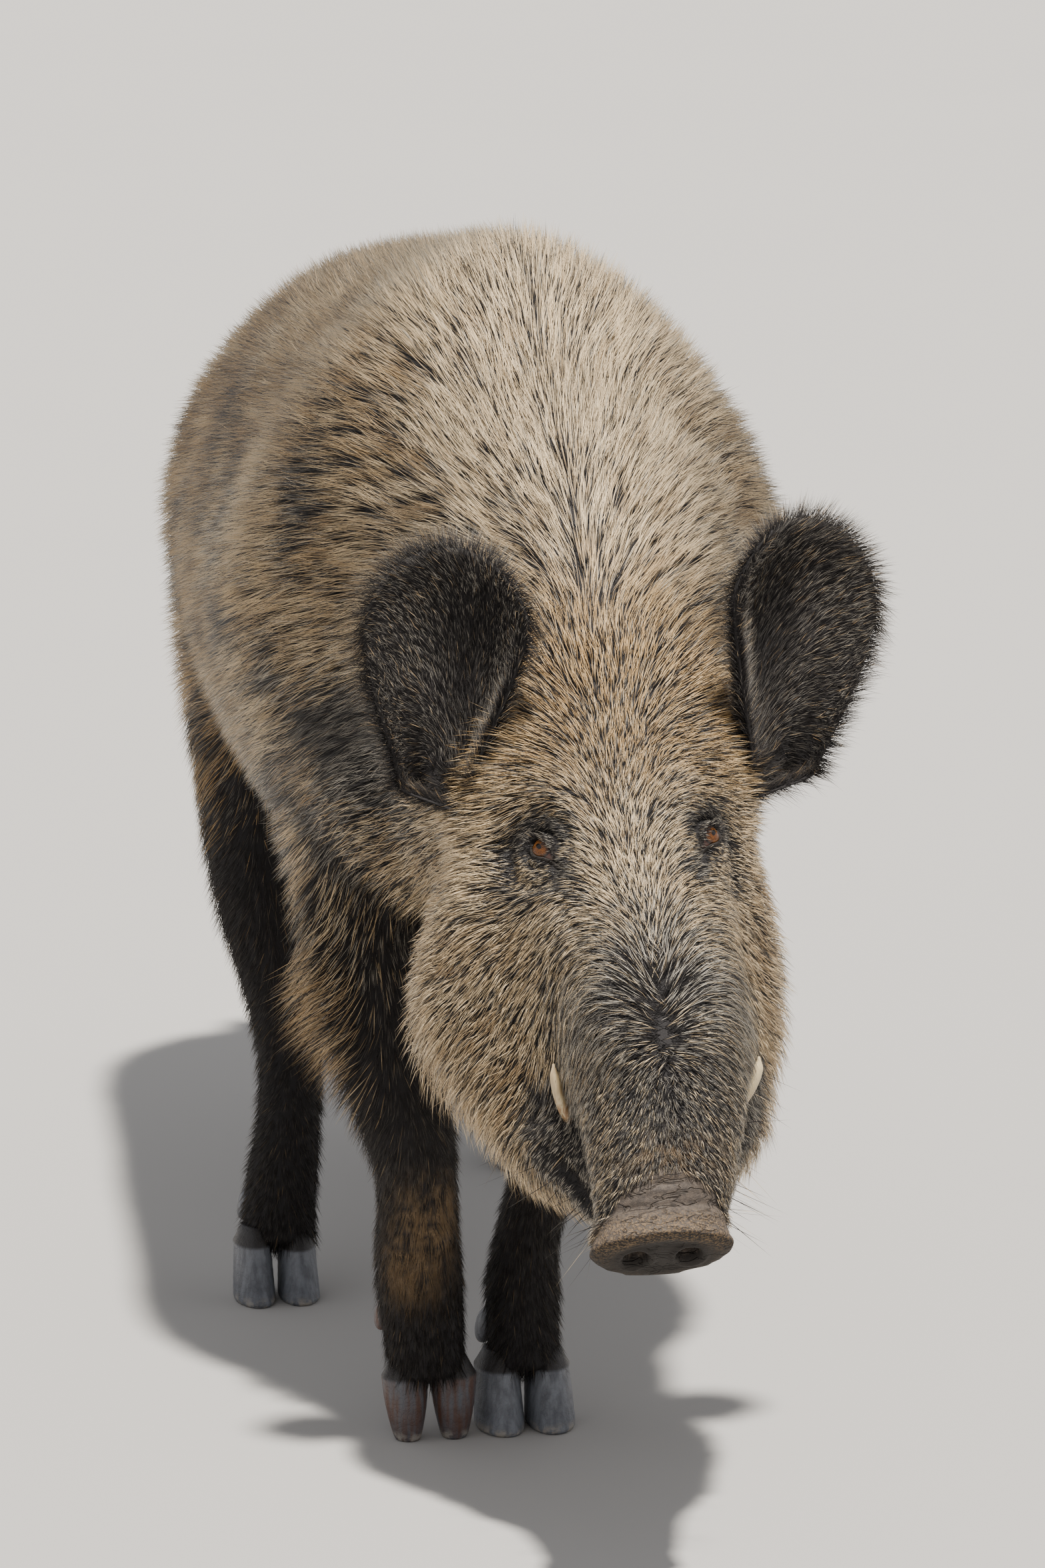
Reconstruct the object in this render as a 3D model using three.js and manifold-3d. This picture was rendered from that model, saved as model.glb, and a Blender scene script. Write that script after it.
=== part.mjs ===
// Wild boar, adult male, walking with its head low. Millimetres, +Z up. It faces -Y and its left is +X.
// The solids reach the tips of the coat. Flesh is modelled whole and parted with thin cuts.
// Heights are above the floor. While the shapes are made, Y is counted from the withers, and the last lines
// move the whole animal so that its origin is at floor level under the middle of its outline box.
import * as THREE from 'three';
import { mergeVertices } from 'three/addons/utils/BufferGeometryUtils.js';
import Module from 'manifold-3d';

const wasm = await Module();
wasm.setup();

// Driving dimensions.
const withersHeight = 857; // top of the mane over the shoulders
const rumpEnd = 872; // from the withers to the back of the hams
const cut = 0.3; // width of the cuts between pieces

const headPitch = 54.5; // the forehead line, degrees below level
const headTurn = -4;
const headTilt = -2.2;
const headRoll = -1;
const poll = new THREE.Vector3(6, -248, 636); // top of the head between the ears

const eyeRadius = 11.5;
const earThickness = 13;
const hoofHeight = 42;

// Looks, for viewing the solids alone.
const bristle = { color: 0x8c7a62, roughness: 0.95, metalness: 0 };
const darkBristle = { color: 0x2b2522, roughness: 0.95, metalness: 0 };
const bareSkin = { color: 0x5a4f4a, roughness: 0.7, metalness: 0 };
const horn = { color: 0x5b626c, roughness: 0.55, metalness: 0 };
const ivory = { color: 0xd8c7a0, roughness: 0.4, metalness: 0 };
const iris = { color: 0x5a2c10, roughness: 0.1, metalness: 0 };

const sides = ['left', 'right'];
const outwards = { left: 1, right: -1 };
const degrees = THREE.MathUtils.degToRad;
const v3 = (x, y, z) => new THREE.Vector3(x, y, z);

// Closed meshes as solids, and back.

function solidOf(geometry) {
  const bare = geometry.clone();
  for (const name of Object.keys(bare.attributes)) {
    if (name !== 'position') bare.deleteAttribute(name);
  }
  const merged = mergeVertices(bare, 1e-3);
  const index = merged.index.array;
  const triVerts = [];
  for (let i = 0; i < index.length; i += 3) {
    const [a, b, c] = index.slice(i, i + 3);
    if (a !== b && b !== c && a !== c) triVerts.push(a, b, c);
  }
  const vertProperties = new Float32Array(merged.attributes.position.array);
  const mesh = new wasm.Mesh({ numProp: 3, vertProperties, triVerts: new Uint32Array(triVerts) });
  return new wasm.Manifold(mesh);
}

function geometryOf(solid) {
  const mesh = solid.getMesh();
  const geometry = new THREE.BufferGeometry();
  geometry.setAttribute('position', new THREE.BufferAttribute(new Float32Array(mesh.vertProperties), 3));
  geometry.setIndex(new THREE.BufferAttribute(new Uint32Array(mesh.triVerts), 1));
  return geometry;
}

const joined = (...solids) => solids.reduce((a, b) => a.add(b));
const without = (solid, ...others) => others.reduce((a, b) => a.subtract(b), solid);

// A box in a frame of its own, used to take or to leave what lies inside it.
function region(low, high, frame, grow = 0) {
  const size = high.clone().sub(low).addScalar(2 * grow);
  const middle = high.clone().add(low).multiplyScalar(0.5);
  const box = new THREE.BoxGeometry(size.x, size.y, size.z);
  box.translate(middle.x, middle.y, middle.z);
  box.applyMatrix4(frame);
  return solidOf(box);
}

function ball(radius, at) {
  const sphere = new THREE.SphereGeometry(radius, 12, 8);
  sphere.translate(at.x, at.y, at.z);
  return solidOf(sphere);
}

// A signed power rounds a ring: 2 is an ellipse, less is pinched towards its middle lines, more is boxy.
const bend = (value, roundness) => Math.sign(value) * Math.abs(value) ** (2 / roundness);

// A closed body through rows of sizes: [x, y, z, half width, rise, drop, roundness above, roundness below].
// A sphere's rings are laid along the rows, with its poles as the two ends. Rings stand across the line
// through the rows, or across "heading" where it is given. "side" is the way of the half width.
function loft(rows, { around, along, side = v3(1, 0, 0), heading = null, grow = 0, ends = [0.35, 0.35] }) {
  const through = (points) => new THREE.CatmullRomCurve3(points, false, 'catmullrom');
  const curve = (pick) => through(rows.map((row) => v3(...pick(row))));
  const centres = curve((row) => row.slice(0, 3));
  const sizes = curve((row) => row.slice(3, 6));
  const rounds = curve((row) => [row[6] ?? 2, row[7] ?? 2, 0]);
  const sphere = new THREE.SphereGeometry(1, around, along);
  const spot = sphere.attributes.position;
  const uv = sphere.attributes.uv;
  for (let i = 0; i < spot.count; i += 1) {
    const ring = Math.round((1 - uv.getY(i)) * along);
    const t = THREE.MathUtils.clamp((ring - 1) / (along - 2), 0, 1);
    const forward = heading ?? centres.getTangent(t);
    const up = v3(0, 0, 0).crossVectors(side, forward).normalize();
    const across = v3(0, 0, 0).crossVectors(forward, up).normalize();
    const size = sizes.getPoint(t);
    const round = rounds.getPoint(t);
    const point = centres.getPoint(t);
    if (ring === 0) {
      point.addScaledVector(forward, -ends[0] * Math.min(size.x, size.y) - grow);
    } else if (ring === along) {
      point.addScaledVector(forward, ends[1] * Math.min(size.x, size.y) + grow);
    } else {
      const turn = 2 * Math.PI * Math.round(uv.getX(i) * around) / around;
      const above = Math.sin(turn) >= 0;
      const roundness = above ? round.x : round.y;
      point.addScaledVector(across, (size.x + grow) * bend(Math.cos(turn), roundness));
      point.addScaledVector(up, ((above ? size.y : size.z) + grow) * bend(Math.sin(turn), roundness));
    }
    spot.setXYZ(i, point.x, point.y, point.z);
  }
  return solidOf(sphere);
}

// Trunk, from the chest to the hams. It is deepest and most pinched over the shoulders.
const trunkRows = [
  [0, -168, 510, 50, 70, 60],
  [0, -135, 530, 122, 175, 145, 1.8, 2],
  [0, -70, 560, 178, 246, 202, 1.7, 2.1],
  [0, 0, 580, 205, withersHeight - 583, 236, 1.6, 2.1],
  [0, 80, 575, 208, 269, 234, 1.6, 2.1],
  [0, 180, 555, 198, 272, 214, 1.65, 2.1],
  [0, 300, 535, 189, 272, 186, 1.75, 2.15],
  [0, 420, 530, 180, 258, 160, 1.8, 2.15],
  [0, 530, 528, 168, 238, 138, 1.8, 2.1],
  [0, 640, 522, 160, 221, 116, 1.8, 2.1],
  [0, 740, 528, 150, 181, 96, 1.8, 2.1],
  [0, 812, 538, 122, 130, 90, 1.85, 2],
  [0, rumpEnd - 18, 540, 74, 84, 62, 2, 2],
];
const trunkLoft = (grow = 0) => loft(trunkRows, { around: 24, along: 22, heading: v3(0, 1, 0), grow });

// Neck, from inside the shoulders to inside the skull.
const neckRows = [
  [0, 60, 620, 178, 200, 170, 1.65, 2],
  [3, -20, 590, 176, 207, 180, 1.65, 2],
  [8, -90, 550, 158, 192, 190, 1.7, 2],
  [12, -150, 510, 138, 162, 176, 1.8, 2],
  [13, -200, 470, 120, 124, 145, 1.9, 2],
  [13, -240, 430, 96, 84, 110, 2, 2],
];
const neckLoft = (grow = 0) => loft(neckRows, { around: 20, along: 9, side: v3(-1, 0, 0), grow });

// The head's own frame starts at the poll: "out" is the boar's left, "along" runs down the forehead to the
// snout and "deep" from the forehead towards the throat.
const headFrame = new THREE.Matrix4().makeRotationY(degrees(headTilt))
  .multiply(new THREE.Matrix4().makeRotationZ(degrees(headTurn)))
  .multiply(new THREE.Matrix4().makeRotationX(degrees(headPitch)))
  .multiply(new THREE.Matrix4().makeRotationY(degrees(headRoll)))
  .setPosition(poll);
const inHead = (out, along, deep) => v3(out, -along, -deep).applyMatrix4(headFrame);
const headSide = inHead(-1, 0, 0).sub(poll);
const headway = inHead(0, 1, 0).sub(poll);

// Rows in the head's frame: [out, along, deep, half width, rise to the forehead, drop to the jaw, roundness
// above and below]. The skull with its cheeks and jaw is one body, the muzzle on top of it another.
const inHeadRows = (rows) => rows.map((row) => [...inHead(...row.slice(0, 3)).toArray(), ...row.slice(3)]);
const headRows = [
  [-8, -70, 120, 96, 100, 100],
  [-8, -20, 112, 104, 104, 118, 2.1, 2],
  [-6, 40, 108, 108, 108, 132, 2.2, 2],
  [-5, 100, 106, 110, 110, 140, 2.1, 2.2],
  [-7, 150, 116, 120, 118, 134, 1.9, 2.4],
  [-12, 195, 130, 132, 128, 118, 1.7, 2.6],
  [-14, 240, 140, 132, 126, 102, 1.6, 2.8],
  [-10, 280, 141, 120, 108, 88, 1.6, 2.7],
  [-7, 312, 136, 104, 84, 76, 1.6, 2.5],
  [-4, 342, 126, 85, 62, 64, 1.7, 2.3],
  [-2, 370, 110, 65, 42, 50, 1.9, 2.2],
  [0, 392, 98, 48, 30, 36, 2, 2],
  [-1, 408, 92, 36, 24, 26, 2, 2],
];
const muzzleRows = [
  [2, 160, 66, 74, 58, 60, 2.2, 2.2],
  [7, 230, 62, 68, 63, 60, 2.3, 2.2],
  [9, 290, 58, 60, 62, 58, 2.4, 2.2],
  [10, 340, 54, 57, 58, 52, 2.5, 2.4],
  [6, 385, 50, 51, 50, 46, 2.5, 2.4],
  [1, 422, 48, 41, 38, 34, 2.4, 2.2],
];
const headLoft = (grow = 0) => {
  const across = { side: headSide, heading: headway, grow };
  const skull = loft(inHeadRows(headRows), { around: 26, along: 18, ...across });
  return skull.add(loft(inHeadRows(muzzleRows), { around: 16, along: 8, ...across }));
};

// The snout: a short tube that flares to the rim of its flat disc.
const snoutRows = [
  [5, 387, 55, 40, 40, 38, 2.4, 2.2],
  [0, 417, 50, 41, 37, 36, 2.4, 2.2],
  [-1, 433, 45, 44, 33, 33, 2.3, 2.2],
  [-3, 446, 42, 48, 35, 33, 2.2, 2.1],
  [-3, 453, 41, 46, 32, 30, 2.2, 2.1],
];
const snoutLoft = (grow = 0) => loft(inHeadRows(snoutRows), {
  around: 20, along: 7, side: headSide, grow, ends: [0, 0.1],
});

// Ears: a cupped leaf, wrapped round a curl that opens towards its tip. The back of the cup stands at "base",
// the leaf rises along "lean", its foot sweeps outwards, and the cup looks towards "facing".
const earSweep = 30;
const ears = {
  left: {
    base: [94, 80, 54], length: 176, halfWidth: 66, lean: v3(0.32, 0.02, 1), facing: v3(0.22, -1, -0.15),
  },
  right: {
    base: [-88, 84, 42], length: 166, halfWidth: 66, lean: v3(-0.2, 0.02, 1), facing: v3(-0.3, -1, -0.15),
  },
};
function ear(which) {
  const { base, length, halfWidth, lean, facing } = ears[which];
  const up = lean.clone().normalize();
  const side = v3(0, 0, 0).crossVectors(up, facing).normalize();
  const front = v3(0, 0, 0).crossVectors(side, up).normalize();
  const leaf = new THREE.BoxGeometry(2, 1, 1, 8, 8, 1);
  const spot = leaf.attributes.position;
  for (let i = 0; i < spot.count; i += 1) {
    const across = spot.getX(i);
    const rise = spot.getY(i) + 0.5;
    const curl = 1.75 - 1.1 * rise;
    const swell = Math.sin((Math.PI / 2) * Math.min(rise / 0.62, 1));
    const belly = 0.66 + 0.36 * swell - 0.16 * Math.max(rise - 0.62, 0);
    const radius = halfWidth * belly / curl;
    const cap = 1 - Math.sqrt(Math.max(1 - 0.97 * across ** 2, 0));
    const thickness = earThickness * (1 - 0.55 * Math.abs(across) ** 3) * (1 - 0.5 * rise ** 3);
    const reach = radius - spot.getZ(i) * thickness;
    const height = length * (rise - 0.42 * cap * rise ** 3) - 18;
    const sweep = outwards[which] * earSweep * Math.max(1 - rise / 0.8, 0) ** 1.5;
    const point = inHead(...base)
      .addScaledVector(up, height)
      .addScaledVector(side, reach * Math.sin(curl * across) + sweep)
      .addScaledVector(front, radius - reach * Math.cos(curl * across) - 14 + 10 * rise);
    spot.setXYZ(i, point.x, point.y, point.z);
  }
  return solidOf(leaf);
}

// Eyes, and the sockets that they look out of.
const eyePlaces = { left: inHead(54, 166, 34), right: inHead(-52, 168, 34) };
const eyeSights = { left: inHead(8, -2, -10).sub(poll), right: inHead(-8, -2, -10).sub(poll) };
const socket = (which) => joined(
  ball(eyeRadius + cut, eyePlaces[which]),
  ball(eyeRadius + 6, eyeSights[which].clone().setLength(eyeRadius + 3).add(eyePlaces[which])),
);

// The lower tusks curve up and outwards from under the lip, in the head's frame.
const tuskRows = {
  left: [
    [58, 340, 94, 6, 6, 6],
    [70, 334, 85, 5.6, 5.6, 5.6],
    [77, 324, 76, 4.6, 4.6, 4.6],
    [79, 310, 67, 3, 3, 3],
  ],
  right: [
    [-40, 348, 98, 5.5, 6, 6],
    [-50, 337, 80, 4.8, 5, 5],
    [-55, 324, 67, 4, 4.2, 4.2],
    [-57, 308, 56, 2.4, 2.6, 2.6],
  ],
};
const tusk = (which) => loft(inHeadRows(tuskRows[which]), {
  around: 9, along: 9, side: headSide, ends: [0.4, 1.2],
});

const tailRows = [
  [0, 800, 618, 26, 22, 24],
  [0, 858, 622, 23, 18, 22],
  [2, 890, 596, 17, 15, 16],
  [5, 900, 550, 14, 13, 13],
  [9, 901, 502, 12, 12, 12],
  [14, 894, 452, 13, 12, 12],
  [18, 888, 407, 15, 14, 14],
  [20, 885, 368, 11, 11, 11],
  [21, 884, 340, 4, 4, 4],
];
const tailLoft = () => loft(tailRows, { around: 9, along: 14, ends: [0.2, 1] });

// Legs, from inside the body to the coronet: [x, y, z, half width, depth behind, depth in front].
const legRows = {
  front_left: [
    [112, 40, 560, 70, 95, 90],
    [116, 30, 470, 62, 85, 80],
    [104, 18, 400, 50, 66, 62],
    [80, 2, 330, 38, 46, 44],
    [54, -16, 265, 33, 33, 36],
    [32, -26, 220, 34, 32, 34],
    [12, -30, 175, 30, 29, 28],
    [-1, -32, 130, 29, 28, 26],
    [-4, -33, 98, 33, 34, 28],
    [-6, -44, 66, 32, 28, 27],
    [-8, -55, 33, 34, 25, 28],
  ],
  front_right: [
    [-112, 40, 560, 70, 95, 90],
    [-116, 30, 470, 62, 85, 80],
    [-116, 10, 400, 56, 66, 62],
    [-110, -25, 330, 50, 50, 44],
    [-104, -55, 268, 41, 38, 38],
    [-94, -80, 226, 38, 34, 35],
    [-90, -86, 186, 34, 31, 32],
    [-89, -80, 145, 36, 33, 31],
    [-85, -68, 108, 37, 33, 31],
    [-82, -66, 74, 35, 26, 28],
    [-79, -71, 38, 33, 23, 26],
  ],
  hind_left: [
    [74, 690, 600, 56, 95, 110],
    [90, 680, 520, 62, 130, 135],
    [102, 650, 440, 58, 115, 130],
    [110, 632, 370, 50, 95, 95],
    [116, 655, 310, 40, 60, 56],
    [119, 690, 262, 33, 40, 40],
    [121, 694, 215, 29, 31, 31],
    [123, 676, 162, 28, 27, 26],
    [126, 654, 116, 29, 29, 26],
    [129, 636, 80, 32, 31, 27],
    [130, 619, 33, 32, 25, 27],
  ],
  hind_right: [
    [-74, 680, 600, 56, 95, 110],
    [-90, 665, 520, 62, 130, 130],
    [-100, 620, 440, 58, 125, 125],
    [-108, 550, 370, 54, 100, 90],
    [-113, 485, 310, 48, 64, 60],
    [-113, 435, 260, 42, 46, 40],
    [-109, 404, 216, 34, 38, 31],
    [-107, 366, 168, 31, 28, 27],
    [-114, 332, 124, 30, 28, 26],
    [-122, 314, 88, 33, 33, 27],
    [-130, 293, 33, 33, 25, 27],
  ],
};
const legs = Object.keys(legRows);
const legSide = (leg) => outwards[leg.split('_')[1]];
const legLoft = (leg, grow = 0) => loft(legRows[leg], { around: 12, along: 18, grow, ends: [0.2, 0.08] });

// One claw of a hoof, from its flat sole up to the coronet. "lean" carries its top backwards and "spread"
// sideways. "tip" is the share of the full section left at the sole, less than 1 where only the toe touches.
function claw({ at, length, width, height = hoofHeight, lean, spread = 0, splay = 0, tip = 1 }) {
  const rows = 5;
  const around = 10;
  const sphere = new THREE.SphereGeometry(1, around, rows);
  const spot = sphere.attributes.position;
  const uv = sphere.attributes.uv;
  for (let i = 0; i < spot.count; i += 1) {
    const ring = Math.round((1 - uv.getY(i)) * rows);
    const turn = 2 * Math.PI * Math.round(uv.getX(i) * around) / around;
    const rise = THREE.MathUtils.clamp((rows - 1 - ring) / (rows - 2), 0, 1);
    const pole = ring === 0 || ring === rows;
    const reach = pole ? 0 : 1 - (1 - tip) * (1 - rise) ** 1.5;
    const across = reach * (width / 2) * bend(Math.cos(turn), 2.5) * (1 - 0.12 * rise);
    const back = reach * (length / 2) * bend(Math.sin(turn), 2.2) * (1 - 0.24 * rise);
    spot.setXYZ(i, across + spread * rise, back + lean * rise, rise * height);
  }
  sphere.rotateZ(degrees(splay));
  sphere.translate(at[0], at[1], 0);
  return solidOf(sphere);
}

// A dew claw: a small blunt cone behind the fetlock, which hangs clear of the floor.
function dewClaw([x, y, z], way) {
  const cone = new THREE.SphereGeometry(1, 7, 5);
  cone.scale(9, 12, 18);
  cone.rotateX(degrees(32));
  cone.rotateY(degrees(way * -16));
  cone.translate(x, y, z);
  return solidOf(cone);
}

// Where each foot stands and where its dew claws hang, "apart" being half the distance between its two claws.
// The right forefoot is coming down, with only its toes on the floor.
const flat = { lean: 14, splay: 5 };
const feet = {
  front_left: { at: [-8, -62], apart: 18.5, length: 58, width: 35, ...flat, dew: [-5, -14, 62] },
  front_right: {
    at: [-79, -76], apart: 11, length: 42, width: 35, height: 44, lean: 7, splay: 2, tip: 0.58, spread: 8,
    dew: [-83, -42, 84],
  },
  hind_left: { at: [131, 610], apart: 17, length: 54, width: 31, ...flat, dew: [129, 652, 60] },
  hind_right: { at: [-132, 282], apart: 17, length: 54, width: 31, ...flat, dew: [-124, 332, 62] },
};
const dewApart = 21;

// Each leg leaves the body at a sloping cut: its level at the midline and 230 mm out, and its reach fore
// and aft.
const legCuts = {
  front_left: { inner: 352, outer: 420, from: -200, to: 200 },
  front_right: { inner: 352, outer: 420, from: -200, to: 200 },
  hind_left: { inner: 385, outer: 560, from: 330, to: 900 },
  hind_right: { inner: 385, outer: 560, from: 180, to: 900 },
};
function legRegion(leg, grow = 0) {
  const { inner, outer, from, to } = legCuts[leg];
  const slope = Math.atan2(outer - inner, 230) * legSide(leg);
  const frame = new THREE.Matrix4().makeRotationY(-slope).setPosition(0, 0, inner);
  return region(v3(-400, from, -700), v3(400, to, 0), frame, grow);
}

// The head takes the skull and, further along, the deep jaw. The neck takes the rest in front of the
// shoulders.
const headRegion = (grow = 0) => joined(
  region(v3(-200, -520, -160), v3(200, 14, 60), headFrame, grow),
  region(v3(-200, -520, -270), v3(200, -120, 60), headFrame, grow),
);
const neckRegion = (grow = 0) => region(v3(-300, -600, 200), v3(300, -75, 900), new THREE.Matrix4(), grow);
const snoutRegion = (grow = 0) => region(v3(-90, -500, -86), v3(80, -416, 40), headFrame, grow);
const mouthFrame = headFrame.clone()
  .multiply(new THREE.Matrix4().makeTranslation(0, -215, -122))
  .multiply(new THREE.Matrix4().makeRotationX(degrees(-9)));
const jawRegion = (grow = 0) => region(v3(-170, -300, -190), v3(170, 0, 0), mouthFrame, grow);

// The flesh as one body, parted into trunk, neck, head, jaw and snout.
const shoulders = legs.map((leg) => without(legLoft(leg), legRegion(leg, cut)));
const flesh = joined(trunkLoft(), neckLoft(), headLoft(), snoutLoft(), ...shoulders);
const bodyAndNeck = without(flesh, headRegion(cut));
const wholeHead = without(flesh.intersect(headRegion()), ...sides.map(socket));
const faceAndJaw = without(wholeHead, snoutRegion(cut));

const pieces = {
  trunk: [without(bodyAndNeck, neckRegion(cut)), bristle],
  neck: [bodyAndNeck.intersect(neckRegion()), bristle],
  head: [without(faceAndJaw, jawRegion(cut)), bristle],
  jaw: [faceAndJaw.intersect(jawRegion()), bristle],
  snout: [wholeHead.intersect(snoutRegion()), bareSkin],
  tail: [without(tailLoft(), trunkLoft(cut)), bristle],
};
for (const which of sides) {
  pieces[`ear_${which}`] = [without(ear(which), headLoft(cut), neckLoft(cut), trunkLoft(cut)), darkBristle];
  pieces[`eye_${which}`] = [ball(eyeRadius, eyePlaces[which]), iris];
  pieces[`tusk_${which}`] = [without(tusk(which), headLoft(cut)), ivory];
}
for (const leg of legs) {
  const room = legLoft(leg, cut);
  const lower = legLoft(leg).intersect(legRegion(leg));
  pieces[`leg_${leg}`] = [without(lower, trunkLoft(cut), headLoft(cut), neckLoft(cut)), darkBristle];
  for (const [label, way] of [['outer', legSide(leg)], ['inner', -legSide(leg)]]) {
    const { at: [x, y], apart, dew, splay, spread = 0, ...shape } = feet[leg];
    const hoof = claw({ ...shape, at: [x + way * apart, y], splay: way * splay, spread: way * spread });
    pieces[`hoof_${leg}_${label}`] = [without(hoof, room), horn];
    const hanging = dewClaw([dew[0] + way * dewApart, dew[1], dew[2]], way);
    pieces[`dewclaw_${leg}_${label}`] = [without(hanging, room), horn];
  }
}

const group = new THREE.Group();
for (const [name, [solid, look]] of Object.entries(pieces)) {
  const mesh = new THREE.Mesh(geometryOf(solid), new THREE.MeshStandardMaterial(look));
  mesh.name = name;
  group.add(mesh);
}
const outline = new THREE.Box3().setFromObject(group);
const middle = outline.getCenter(v3(0, 0, 0));
group.position.set(-middle.x, -middle.y, -outline.min.z);

export default group;
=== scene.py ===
import math

import bmesh
import bpy
import numpy as np
from mathutils import Matrix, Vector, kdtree


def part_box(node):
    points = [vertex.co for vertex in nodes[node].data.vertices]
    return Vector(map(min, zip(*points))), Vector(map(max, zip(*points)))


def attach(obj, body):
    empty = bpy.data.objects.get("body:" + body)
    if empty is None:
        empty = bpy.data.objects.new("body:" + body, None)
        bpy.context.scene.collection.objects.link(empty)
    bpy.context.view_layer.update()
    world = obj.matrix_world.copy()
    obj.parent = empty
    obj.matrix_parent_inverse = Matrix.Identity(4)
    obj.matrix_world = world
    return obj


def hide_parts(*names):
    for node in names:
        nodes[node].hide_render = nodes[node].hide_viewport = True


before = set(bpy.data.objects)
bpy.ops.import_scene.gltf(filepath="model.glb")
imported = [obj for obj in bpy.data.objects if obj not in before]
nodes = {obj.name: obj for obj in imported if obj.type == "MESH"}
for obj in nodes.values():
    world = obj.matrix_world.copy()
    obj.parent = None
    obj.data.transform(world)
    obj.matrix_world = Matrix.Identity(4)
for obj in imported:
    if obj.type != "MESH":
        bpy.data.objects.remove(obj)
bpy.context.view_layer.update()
random = np.random.default_rng(7)
legNames = ["front_left", "front_right", "hind_left", "hind_right"]
fleshNames = ["trunk", "neck", "head", "jaw", "snout", "tail"] + ["leg_" + leg for leg in legNames]
withersY = -0.2067  # where the shoulders stand in the model's own frame


# Small helpers for arrays of points.

def smooth(low, high, value):
    share = np.clip((value - low) / (high - low), 0.0, 1.0)
    return share * share * (3 - 2 * share)


def fade(low, high, value):
    return 1 - smooth(low, high, value)


def hump(value, centre, width):
    return np.exp(-(((value - centre) / width) ** 2))


def unit(vectors):
    return vectors / np.maximum(np.linalg.norm(vectors, axis=-1, keepdims=True), 1e-9)


def mixed(first, second, share):
    share = np.asarray(share)
    if share.ndim and np.ndim(first) > 1:
        share = share[:, None]
    return first * (1 - share) + second * share


def columns(*parts):
    # Arrays and plain numbers side by side, as the columns of one table.
    return np.stack(np.broadcast_arrays(*parts), -1)


mottleMake = {"shift": 19.19, "primes": (73856093, 19349663, 83492791), "seedPrime": 97531,
              "stirs": ((13, 1274126177), (15, 668265263)), "mask": 0x7FFFFFFF}


def mottle(points, size, seed=1):
    # Even random values from 0 to 1 that change smoothly over about one size.
    grid = points / size + seed * mottleMake["shift"]
    cell = np.floor(grid).astype(np.int64)
    part = grid - cell
    part = part * part * (3 - 2 * part)
    total = np.zeros(len(points))
    for corner in range(8):
        step = np.array([corner & 1, corner >> 1 & 1, corner >> 2 & 1])
        bits = np.bitwise_xor.reduce((cell + step) * np.array(mottleMake["primes"]), axis=1)
        bits = bits ^ (seed * mottleMake["seedPrime"])
        for shift, stir in mottleMake["stirs"]:
            bits = (bits ^ (bits >> shift)) * stir & mottleMake["mask"]
        total += (bits / mottleMake["mask"]) * np.prod(np.where(step, part, 1 - part), axis=1)
    return total


def boxOf(name):
    low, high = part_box(name)
    return np.array(low), np.array(high)


def newMesh(name, points, faces, sides):
    # A mesh object from arrays: points, corner indices, and how many corners each face has.
    mesh = bpy.data.meshes.new(name)
    points = np.asarray(points, np.float32)
    faces = np.asarray(faces, np.int32).ravel()
    if np.isscalar(sides):
        sides = np.full(len(faces) // sides, sides)
    sides = np.asarray(sides, np.int32)
    mesh.vertices.add(len(points))
    mesh.vertices.foreach_set("co", points.ravel())
    mesh.loops.add(len(faces))
    mesh.loops.foreach_set("vertex_index", faces)
    mesh.polygons.add(len(sides))
    mesh.polygons.foreach_set("loop_start", np.concatenate([[0], np.cumsum(sides)[:-1]]).astype(np.int32))
    mesh.polygons.foreach_set("loop_total", sides)
    mesh.update(calc_edges=True)
    mesh.shade_smooth()
    piece = bpy.data.objects.new(name, mesh)
    bpy.context.scene.collection.objects.link(piece)
    return piece


def closedTube(name, points, around, mirrored=False):
    # Rings of points, closed by the last two points: the middles of the first ring and of the last.
    index = np.arange(len(points) - 2).reshape(-1, around)
    after = np.roll(index, -1, axis=1)
    first, last = np.full(around, len(points) - 2), np.full(around, len(points) - 1)
    walls = [index[:-1], after[:-1], after[1:], index[1:]]
    caps = [[first, after[0], index[0]], [last, index[-1], after[-1]]]
    if mirrored:
        walls = [walls[0], walls[3], walls[2], walls[1]]
        caps = [[middle, second, third] for middle, third, second in caps]
    walls = np.stack(walls, -1).ravel()
    sides = np.concatenate([np.full(len(walls) // 4, 4), np.full(2 * around, 3)])
    return newMesh(name, points, np.concatenate([walls] + [np.stack(cap, -1).ravel() for cap in caps]), sides)


def pointsOf(mesh):
    found = np.empty(len(mesh.vertices) * 3, np.float32)
    mesh.vertices.foreach_get("co", found)
    return found.reshape(-1, 3).astype(float)


def normalsOf(mesh):
    found = np.empty(len(mesh.vertices) * 3, np.float32)
    mesh.vertex_normals.foreach_get("vector", found)
    return found.reshape(-1, 3).astype(float)


def setPoints(mesh, points):
    mesh.vertices.foreach_set("co", np.asarray(points, np.float32).ravel())
    mesh.update()


def trianglesOf(mesh):
    mesh.calc_loop_triangles()
    found = np.empty(len(mesh.loop_triangles) * 3, np.int32)
    mesh.loop_triangles.foreach_get("vertices", found)
    return found.reshape(-1, 3)


def addAttribute(mesh, name, kind, values):
    layer = mesh.attributes.new(name, kind, "POINT")
    field = "color" if kind == "FLOAT_COLOR" else "value"
    layer.data.foreach_set(field, np.asarray(values, np.float32).ravel())


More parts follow.
